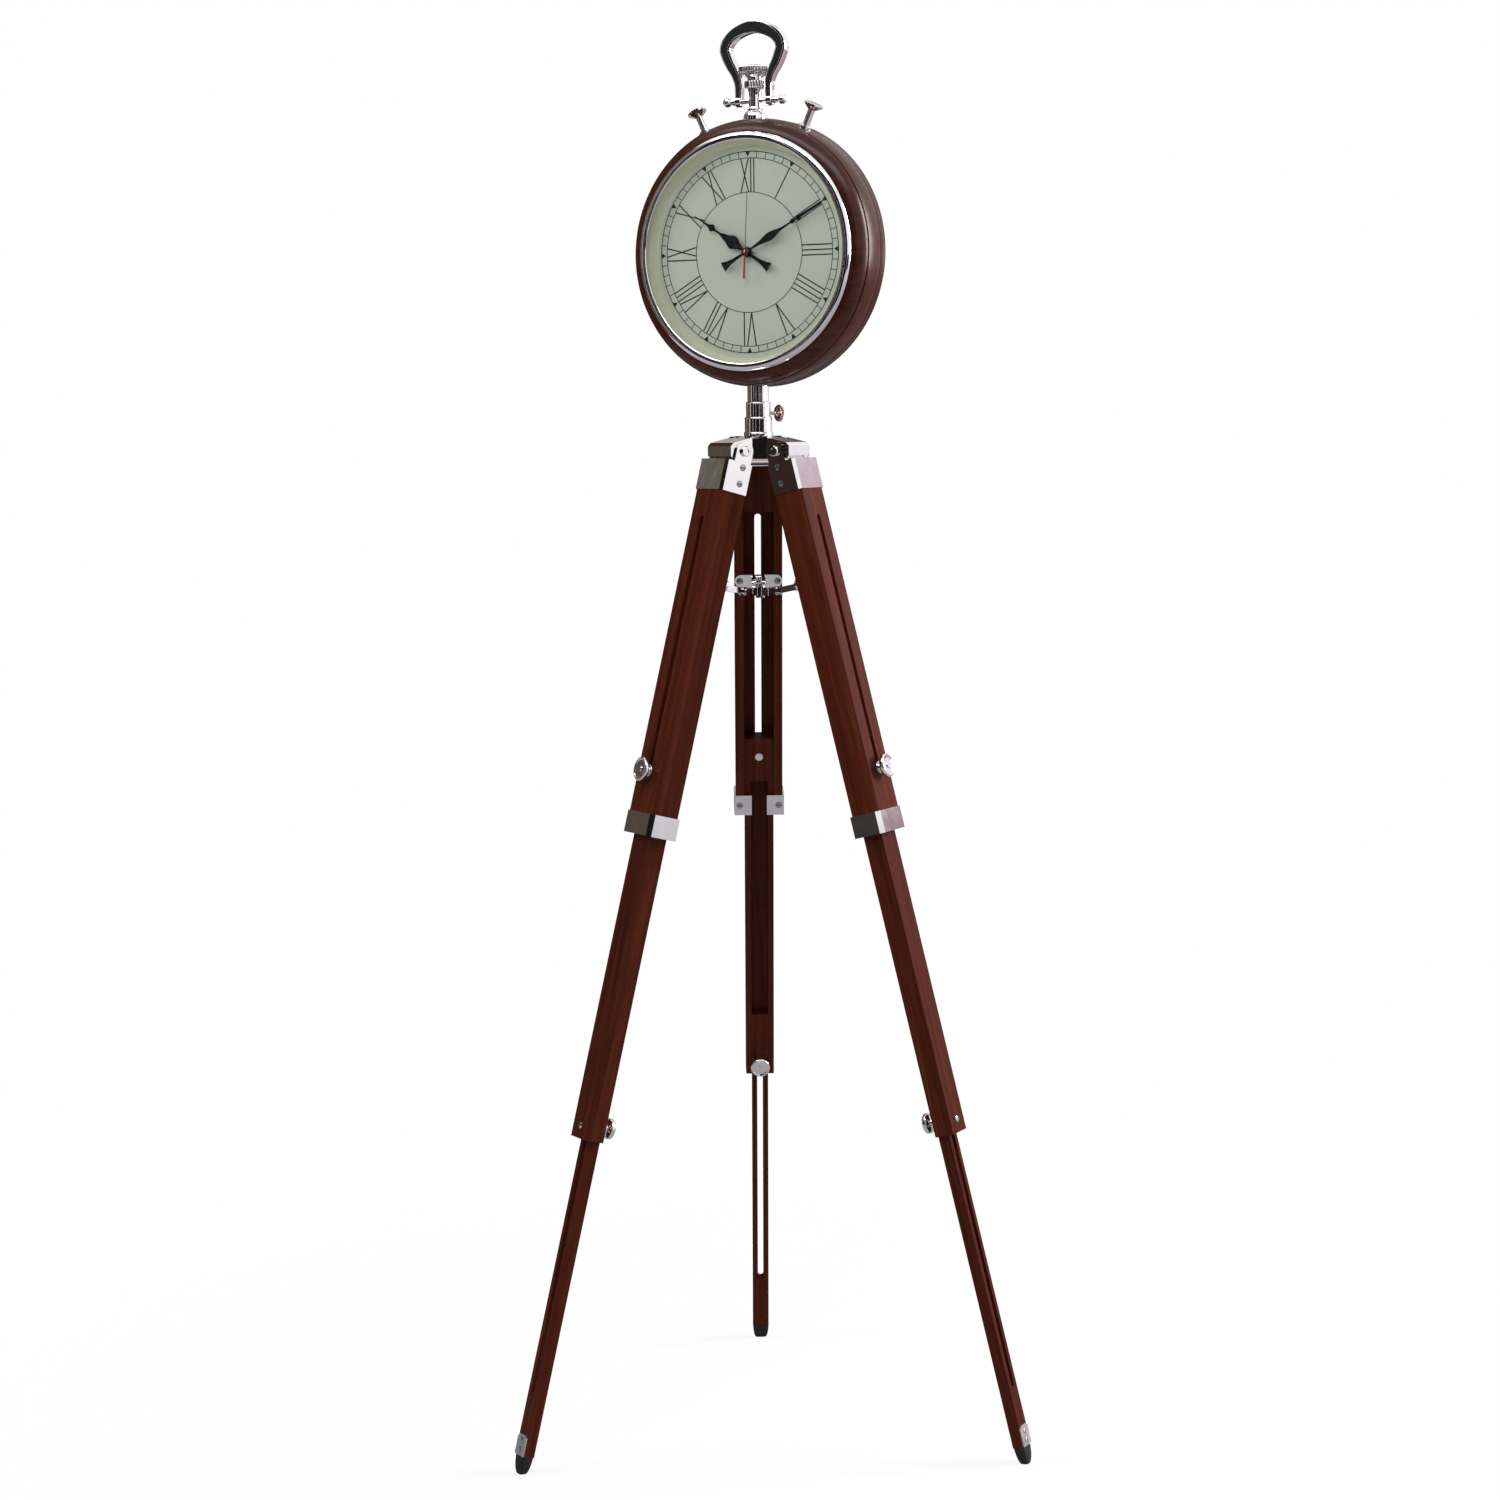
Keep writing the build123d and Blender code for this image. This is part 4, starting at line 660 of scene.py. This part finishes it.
# Bezel, crown and pendant
BEZEL_LINE = [(123.7, 20.0), (123.7, 27.8), (124.8, 27.8), (124.8, 29.4), (124.4, 30.8),
              (123.5, 32.0), (122.2, 32.9), (120.7, 33.5), (119.2, 33.8), (117.8, 33.7),
              (116.7, 33.3), (116.1, 32.7), (116.0, 32.4), (121.9, 32.4), (121.9, 20.0)]
turned_piece("bezel_ring", BEZEL_LINE, 256, NICKEL, "clock", CLOCK, ("bezel",),
             smooth=40)
CROWN_LINE = [(0.02, 162.7), (3.0, 162.7), (3.0, 171.5), (8.4, 171.5), (10.1, 172.0),
              (10.9, 172.9), (10.9, 178.3), (10.1, 179.3), (8.6, 179.7), (7.6, 180.4),
              (7.6, 182.6), (9.4, 183.8), (12.6, 185.6), (15.2, 187.4), (16.4, 188.3),
              (17.0, 189.3), (17.0, 193.4), (16.5, 194.4), (15.2, 195.0), (13.4, 194.4),
              (10.0, 194.9), (5.0, 195.0), (0.02, 195.0)]
CROWN_FLUTES = {5: (20, 1.4), 6: (20, 1.4), 13: (30, 0.8), 14: (30, 1.5), 15: (30, 1.8),
                16: (30, 1.8), 17: (30, 1.8), 18: (30, 1.0)}
turned_piece("crown_knurled", CROWN_LINE, 360, CROWN_PLATE, "crown", CLOCK_UP,
             ("crown",), CROWN_FLUTES, 50)
# Heights above the case's outer radius
PENDANT_LINE = [(3.25, -1.6), (12.2, -1.6), (12.2, 0.6), (12.0, 2.2), (11.3, 4.0), (10.2, 5.7),
                (8.8, 7.2), (7.5, 8.1), (7.3, 8.5), (8.0, 9.0), (8.2, 9.6), (7.9, 10.2),
                (7.2, 10.6), (6.9, 12), (6.7, 16), (6.7, 20), (6.9, 24), (7.3, 27), (7.9, 29.4),
                (8.0, 30.6), (3.25, 30.6)]
turned_piece("pendant_post", [(radius, CASE_R + up) for radius, up in PENDANT_LINE], 128, NICKEL,
             "clock", CLOCK_UP, ("pendant",), smooth=50)

# Horseshoe bow: strap that widens towards the crest. Its line is (half width, height over the
# pins); the pairs are its size at the foot and at the crest, reached at BOW_FULL over the pins.
BOW_PINS = CASE_R + 18.2
BOW_LINE = ((17.9, 0), (17.9, 12.5), (19.2, 20.5), (23.0, 29.1), (28.6, 37.5), (33.0, 46.1),
            (35.4, 54.5), (31.7, 64.4), (20.5, 73.6), (0, 79.2))
BOW_OUTSIDE = 3.6
BOW_WIDE = (7.0, 12.4)
BOW_DEEP = (9.0, 11.0)
BOW_FULL = 55
BOW_SQUARE = 8
BOW_AROUND = 40
EYE_BORE = 2.65
EYE_R = 5.8
EYE_EDGE = 0.6


def curve_through(points, steps):
    """Smooth path through points, with its directions."""
    path = []
    last = len(points) - 1
    for index in range(last):
        before, start = Vector(points[max(index - 1, 0)]), Vector(points[index])
        end, after = Vector(points[index + 1]), Vector(points[min(index + 2, last)])
        leave, arrive = (end - before) / 2, (after - start) / 2
        for k in range(steps + (index == last - 1)):
            t = k / steps
            place = (start * (2 * t ** 3 - 3 * t ** 2 + 1) + leave * (t ** 3 - 2 * t ** 2 + t)
                     + end * (3 * t ** 2 - 2 * t ** 3) + arrive * (t ** 3 - t ** 2))
            slope = (start * (6 * t ** 2 - 6 * t) + leave * (3 * t ** 2 - 4 * t + 1)
                     + end * (6 * t - 6 * t ** 2) + arrive * (3 * t ** 2 - 2 * t))
            path.append((place, slope.normalized()))
    return path


def bow_strap():
    """The bow with its two eyes on the screws."""
    points = [(-half, up) for half, up in BOW_LINE[:-1]] + list(BOW_LINE[::-1])
    path = curve_through(points, 8)
    verts = []
    for place, along in path:
        outward = Vector((-along.y, along.x))
        share = ease(min(max(place.y / BOW_FULL, 0), 1))
        wide = BOW_WIDE[0] + (BOW_WIDE[1] - BOW_WIDE[0]) * share
        deep = BOW_DEEP[0] + (BOW_DEEP[1] - BOW_DEEP[0]) * share
        middle = place + outward * (BOW_OUTSIDE - wide / 2)
        for step in range(BOW_AROUND):
            a = 2 * math.pi * step / BOW_AROUND
            c, s = math.cos(a), math.sin(a)
            reach = (abs(c) ** BOW_SQUARE + abs(s) ** BOW_SQUARE) ** (-1 / BOW_SQUARE)
            spot = middle + outward * (c * reach * wide / 2)
            verts.append((spot.x, s * reach * deep / 2, BOW_PINS + spot.y))
    faces = tube_faces(len(path), BOW_AROUND)
    eye = BOW_WIDE[0] / 2
    half = [(EYE_R, eye - EYE_EDGE), (EYE_R - EYE_EDGE, eye), (EYE_BORE, eye)]
    other_half = [(radius, -up) for radius, up in reversed(half)]
    ring, ring_faces = lathe(other_half + half, 64)
    for side in (-1, 1):
        across = side * (BOW_LINE[0][0] + BOW_OUTSIDE - eye)
        join(verts, faces, [(across + z, x, BOW_PINS + y) for x, y, z in ring], ring_faces)
    make("bow_strap", verts, faces, NICKEL, "bow", CLOCK_UP, 40, ("bow",))


bow_strap()

# Thumb screw of the stem's socket: heights out from the stem's axis
THUMB_TURN = 30
THUMB_LINE = [(0.02, 11.6), (2.0, 11.6), (2.0, 20.6), (2.9, 21.2), (3.6, 22.4), (3.8, 23.6),
              (7.4, 24.3), (8.6, 24.7), (9.2, 25.4), (9.2, 27.0), (8.8, 27.6), (8.0, 27.8),
              (6.5, 27.3), (0.02, 27.3)]
THUMB_FLUTES = {7: (30, 0.5), 8: (30, 0.9), 9: (30, 0.9), 10: (30, 0.5)}
thumb = Matrix.Translation((AXIS.x, AXIS.y, centre(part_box("socket_screw"))[2]))
thumb = thumb @ turned(THUMB_TURN, "Z") @ turned(90, "Y")
turned_piece("thumb_screw", THUMB_LINE, 240, BROWN_THUMB_STEEL, "socket_screw", thumb,
             ("socket_screw",), THUMB_FLUTES, 50)

# Rolled edges of the socket's steps: radius of each step and its distance below the top
SOCKET_STEPS = ((13.0, 0.0), (14.5, 16.0), (15.5, 32.0))
# Section of a rolled edge: out from the step's radius and up from the step
ROLLED_EDGE = ((-1.4, 0.02), (-0.7, 0.02), (-0.1, -0.2), (0.25, -0.8), (0.3, -1.4), (0, -1.9),
               (-1.4, -1.9))
socket_top = Matrix.Translation((AXIS.x, AXIS.y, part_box("tripod_head")[1].z))
for count, (radius, down) in enumerate(SOCKET_STEPS):
    rim = [(radius + out, up - down) for out, up in ROLLED_EDGE]
    turned_piece(f"socket_rim_{count}", rim, 128, NICKEL, "head", socket_top,
                 smooth=60)

# Leg details, in the leg's frame. A distance down the leg counts from the hinge.
UPPER_BOLT = 350.0
LOWER_BOLT = 730.0
UPPER_SEAT = 19.3
LOWER_SEAT = -10.1
UPPER_KNOB = {"radius": 12.8, "disc": 5.5, "collar": 6.6, "neck": 4.6, "boss": 6.5}
LOWER_KNOB = {"radius": 11.0, "disc": 5.5, "collar": 5.6, "neck": 4.4, "boss": 9.5}
KNOB_BORE = 3.05
KNOB_DISH = 4.4
# Screws: place outwards, place across the leg and down it
EAR_SCREWS = (-1.5, 27.2, (17.5, 35.0))
LIP_SCREWS = (-13.8, 21.8, 406.25)
BRACKET_SCREWS = (-14.5, 20.5, 142.5)
LOWER_END = 1082.0
# Foot screws: place outwards, and up from the leg's end
FOOT_SCREWS = (4.0, (6.0, 15.5))
TIP_LONG = 19.6
TIP_MIDDLE = -3.5
TIP_THICK = 6.5
TIP_WIDE = 9.5
TIP_TAPER = 0.12
TIP_ROUND = 0.86
TIP_LEAST = 0.02
TIP_SQUARE = 7
TIP_SOFTEN = 4.4
TIP_RINGS = 14
TIP_AROUND = 48
# Painted screw shade: the dark ring's section as (radius, height), and the dark slot strip's
# outline and two heights
SHADE_RING = [(3.15, 0.0), (3.65, 0.0), (3.6, 0.05), (3.15, 0.05)]
SLOT_OUTLINE = ((-0.46, -2.6), (0.46, -2.6), (0.46, 2.6), (-0.46, 2.6))
SLOT_LOW = 0.38
SLOT_HIGH = 0.56


def knob_piece(name, matrix, radius, disc, collar, neck, boss):
    """Round clamp knob with a rounded rim and a dished face, seated on Z = 0."""
    top = boss + disc
    profile = [
        (KNOB_BORE, 0.0), (collar, 0.0), (collar, 1.1), (collar - 0.4, 1.5), (neck + 0.3, 1.6),
        (neck, 2.1), (neck - 0.5, boss - 1.4), (neck + 0.4, boss - 0.4), (radius - 2.2, boss - 0.1),
        (radius - 0.9, boss + 0.2), (radius - 0.2, boss + 0.9), (radius, boss + 1.8),
        (radius, top - 1.6), (radius - 0.3, top - 0.7), (radius - 1.0, top - 0.1),
        (radius - 1.8, top), (radius - 2.4, top - 0.3), (radius - 2.9, top - 0.9),
        (radius - 4.0, top - 1.0), (KNOB_DISH, top - 1.0), (KNOB_BORE, top - 0.95)]
    turned_piece(name + "_turned", profile, 96, NICKEL, name, matrix, (name,),
                 smooth=50)


def paint_screw_shade(name, body, matrix, seats):
    """Painted shade of each screw, a dark ring round the head and a dark strip in the slot: seats
    of (place, direction, slot axis).
    """
    verts, faces = [], []
    for place, direction, along in seats:
        out, along = Vector(direction), Vector(along)
        seat = Matrix((out.cross(along), along, out)).transposed()
        for points, cells in (lathe(SHADE_RING, 40), prism(SLOT_OUTLINE, SLOT_LOW, SLOT_HIGH)):
            join(verts, faces, [Vector(place) + seat @ Vector(v) for v in points], cells)
    make(name, verts, faces, SCREW_SHADE_PAINT, body, matrix)


def rubber_tip(name, matrix):
    """Rounded tip that is cut level on the floor."""
    into_leg = matrix.inverted()
    verts = []
    for ring in range(TIP_RINGS + 1):
        t = ring / TIP_RINGS
        down = LOWER_END + t * TIP_LONG
        scale = (1 - TIP_TAPER * t) * math.sqrt(max(1 - (TIP_ROUND * t) ** 4, TIP_LEAST))
        square = TIP_SQUARE - TIP_SOFTEN * t
        for step in range(TIP_AROUND):
            a = 2 * math.pi * (step + 0.5) / TIP_AROUND
            c, s = math.cos(a), math.sin(a)
            reach = (abs(c) ** square + abs(s) ** square) ** (-1 / square) * scale
            across = (TIP_MIDDLE + TIP_THICK * reach * c, TIP_WIDE * reach * s)
            point = matrix @ (Vector((*across, -down)) * MM)
            point.z = max(point.z, 0)
            verts.append(into_leg @ point / MM)
    make(f"rubber_tip_{name}", verts, tube_faces(TIP_RINGS + 1, TIP_AROUND), RUBBER, f"low_{name}",
         matrix, 40, (f"foot_tip_{name}",))


def screw_pair(x, y, down):
    """Seats of the two screws on a leg's inner face."""
    return [((x, side * y, -down), (-1, 0, 0), (0, 1, 0)) for side in (-1, 1)]


for leg in LEG_AZIMUTH:
    stand = leg_matrix(leg)
    upper = stand @ Matrix.Translation(Vector((UPPER_SEAT, 0, -UPPER_BOLT)) * MM)
    lower = stand @ Matrix.Translation(Vector((LOWER_SEAT, 0, -LOWER_BOLT)) * MM)
    knob_piece(f"upper_knob_{leg}", upper @ turned(90, "Y"), **UPPER_KNOB)
    knob_piece(f"lower_knob_{leg}", lower @ turned(-90, "Y"), **LOWER_KNOB)
    ear_x, ear_y, ear_down = EAR_SCREWS
    ears = [((ear_x, side * ear_y, -down), (0, side, 0), (1, 0, 0))
            for down in ear_down for side in (-1, 1)]
    # Painted shade round the leg's screws and in their slots, then round the foot's screws
    paint_screw_shade(f"screw_shadows_{leg}", f"leg_{leg}", stand,
                ears + screw_pair(*LIP_SCREWS) + screw_pair(*BRACKET_SCREWS))
    foot_x, foot_up = FOOT_SCREWS
    feet = [((foot_x, 0, up - LOWER_END), (1, 0, 0), (0, 0, 1)) for up in foot_up]
    paint_screw_shade(f"foot_screw_shadows_{leg}", f"low_{leg}", stand, feet)
    rubber_tip(leg, stand)

# Floor and studio
FLOOR_HALF = 30
FLOOR_Z = -0.0005
FLOOR_TONE = (0.75, 0.75, 0.75, 1)
FLOOR_ROUGH = 0.9
# Glow at the object, full further out, between two distances in metres; seen and mirrored.
# Mirrored, the floor is dimmer near the object: a painted shadow of the object, seen only in
# reflections.
FLOOR_GLOW = 0.86
GLOW_FADE = (0.3, 0.95)
MIRRORED_TONE = (0.97, 0.94, 1.0)
MIRRORED_SHADE_LEVEL = 0.4
MIRRORED_SHADE_FADE = (1.2, 9.5)
WORLD_LEVEL = 0.52


def studio_floor(name):
    """Plain floor that the camera sees near white, while it keeps the shadow; in reflections it
    has a painted shadow near the object, darker than the floor far out."""
    mat, shader, nodes, links = node_material(name)
    shader.inputs["Base Color"].default_value = FLOOR_TONE
    shader.inputs["Roughness"].default_value = FLOOR_ROUGH
    shader.inputs["Specular IOR Level"].default_value = 0.0
    white = emission(nodes, (1, 1, 1))
    mirrored_shaded = emission(nodes, MIRRORED_TONE)
    path = nodes.new("ShaderNodeLightPath")
    place = nodes.new("ShaderNodeTexCoord")
    radius = length(nodes, links, place.outputs["Object"])
    seen = reckon(nodes, links, "MAXIMUM", path.outputs["Is Camera Ray"],
                  path.outputs["Is Transmission Ray"])
    fade = spread(nodes, links, radius, FLOOR_GLOW, 1.0, GLOW_FADE)
    share = reckon(nodes, links, "MULTIPLY", seen, fade)
    # Reflected floor strength: low near the object as a painted shadow, full far out
    far = spread(nodes, links, radius, MIRRORED_SHADE_LEVEL, 1.0, MIRRORED_SHADE_FADE)
    links.new(far, mirrored_shaded.inputs["Strength"])
    direct = mixed(nodes, links, share, shader.outputs["BSDF"], white.outputs["Emission"])
    surface(nodes, links, mixed(nodes, links, path.outputs["Is Glossy Ray"], direct,
                                mirrored_shaded.outputs["Emission"]))
    return mat


mesh = bpy.data.meshes.new("floor")
corners = [(x * FLOOR_HALF, y * FLOOR_HALF, FLOOR_Z)
           for x, y in ((-1, -1), (1, -1), (1, 1), (-1, 1))]
mesh.from_pydata(corners, [], [(0, 1, 2, 3)])
floor = bpy.data.objects.new("floor", mesh)
bpy.context.scene.collection.objects.link(floor)
paint(floor, studio_floor("floor_white"))


def studio_world():
    """White world: full to the camera and in reflections, plain and lower as a light."""
    world = bpy.data.worlds.new("studio")
    bpy.context.scene.world = world
    world.use_nodes = True
    nodes, links = world.node_tree.nodes, world.node_tree.links
    background = nodes["Background"]
    background.inputs["Color"].default_value = (1, 1, 1, 1)
    path = nodes.new("ShaderNodeLightPath")
    seen = reckon(nodes, links, "MAXIMUM", path.outputs["Is Camera Ray"],
                  path.outputs["Is Glossy Ray"])
    seen = reckon(nodes, links, "MAXIMUM", seen, path.outputs["Is Transmission Ray"])
    level = spread(nodes, links, seen, WORLD_LEVEL, 1.0, (0, 1))
    links.new(level, background.inputs["Strength"])


studio_world()


def area(name, place, target, size, power, colour=(1, 1, 1), mirrored=False):
    """Rectangular lamp aimed at a point."""
    data = bpy.data.lights.new(name, "AREA")
    data.shape = "RECTANGLE"
    data.size, data.size_y = size
    data.energy = power
    data.color = colour
    lamp = bpy.data.objects.new(name, data)
    bpy.context.scene.collection.objects.link(lamp)
    lamp.location = place
    lamp.rotation_euler = (Vector(target) - Vector(place)).to_track_quat("-Z", "Y").to_euler()
    lamp.visible_glossy = mirrored


area("key", (3.4, 0.1, 2.0), (0, 0, 0.9), (1.2, 2.2), 200, (1.0, 0.90, 0.87), mirrored=True)
area("fill", (-2.9, -0.6, 3.0), (0, 0, 1.0), (1.2, 2.0), 52, (1.0, 0.98, 0.95))
area("front", (-1.2, -2.8, 3.2), (0, 0, 1.2), (1.4, 1.4), 40)

# Cards that only show in reflections: start and end angle round the object in degrees, colour,
# low and high edge and distance in metres. The last is a soft box.
SCREENS = (
    (60, 76, (0.05, 0.04, 0.035), 0.0, 1.2),
    (76, 98, (0.05, 0.04, 0.035), 0.0, 1.75),
    (76, 98, (0.46, 0.38, 0.38), 1.75, 4.0),
    (98, 146, (0.044, 0.025, 0.021)),
    (148, 190, (0.086, 0.067, 0.051), 0.0, 1.3),
    (148, 190, (0.132, 0.115, 0.086), 1.3, 4.0),
    (194, 222, (0.042, 0.038, 0.035), 0.0, 0.9),
    (194, 222, (0.034, 0.019, 0.015), 0.9, 1.45),
    (194, 222, (0.020, 0.022, 0.025), 1.45, 4.0),
    (223.5, 246, (0.011, 0.009, 0.009)),
    (247.5, 277, (0.009, 0.008, 0.008)),
    (278.5, 316, (0.011, 0.009, 0.009), 0.7, 1.22),
    (350, 383, (0.55, 0.44, 0.48), 0.0, 0.98),
    (383, 425, (0.40, 0.29, 0.32), 0.0, 1.0),
    (383, 425, (0.95, 0.90, 0.97), 1.0, 1.46),
    (383, 425, (0.66, 0.50, 0.57), 1.46, 1.75),
    (425, 436, (0.053, 0.035, 0.035), 0.0, 1.6),
    (186, 306, (6.5, 6.4, 6.9), 3.5, 5.2, 2.6),
)
SCREEN_STEP = 4


def screen(name, start, end, colour, low=0.0, high=4.0, distance=3.0):
    """Upright curved card that only shows in reflections."""
    steps = max(2, int(abs(end - start) / SCREEN_STEP))
    verts = []
    for k in range(steps + 1):
        a = math.radians(start + (end - start) * k / steps)
        verts += [(distance * math.cos(a), distance * math.sin(a), z) for z in (low, high)]
    data = bpy.data.meshes.new(name)
    data.from_pydata(verts, [], [(k * 2, k * 2 + 2, k * 2 + 3, k * 2 + 1) for k in range(steps)])
    card = bpy.data.objects.new(name, data)
    bpy.context.scene.collection.objects.link(card)
    mat, nodes, links = bare_material(name)
    surface(nodes, links, emission(nodes, colour).outputs["Emission"])
    paint(card, mat)
    card.visible_camera = False
    card.visible_diffuse = False
    card.visible_shadow = False
    card.visible_transmission = False


for number, card in enumerate(SCREENS):
    screen(f"screen_{number}", *card)

# Camera
SENSOR = 36
FOCAL_PIXELS = 2964
PICTURE_PIXELS = 1500
CAMERA_OFFSET = (0.006, -3.182, 0)
CAMERA_HEIGHT = 1.0822
CAMERA_ORBIT = -1.8
CAMERA_PAN = 0.34
CAMERA_DOWN = 6.05
CAMERA_ROLL = -0.65
camera_data = bpy.data.cameras.new("camera")
camera_data.sensor_width = SENSOR
camera_data.lens = SENSOR * FOCAL_PIXELS / PICTURE_PIXELS
camera_data.dof.use_dof = False
camera_data.clip_end = 100
camera = bpy.data.objects.new("camera", camera_data)
bpy.context.scene.collection.objects.link(camera)
bpy.context.scene.camera = camera
offset = turned(CAMERA_ORBIT, "Z") @ Vector(CAMERA_OFFSET)
camera.location = AXIS + offset + Vector((0, 0, CAMERA_HEIGHT))
aim = turned(CAMERA_ORBIT + CAMERA_PAN, "Z", 3) @ turned(90 - CAMERA_DOWN, "X", 3)
camera.rotation_euler = (aim @ turned(CAMERA_ROLL, "Z", 3)).to_euler()

bpy.context.scene.view_settings.view_transform = "Standard"
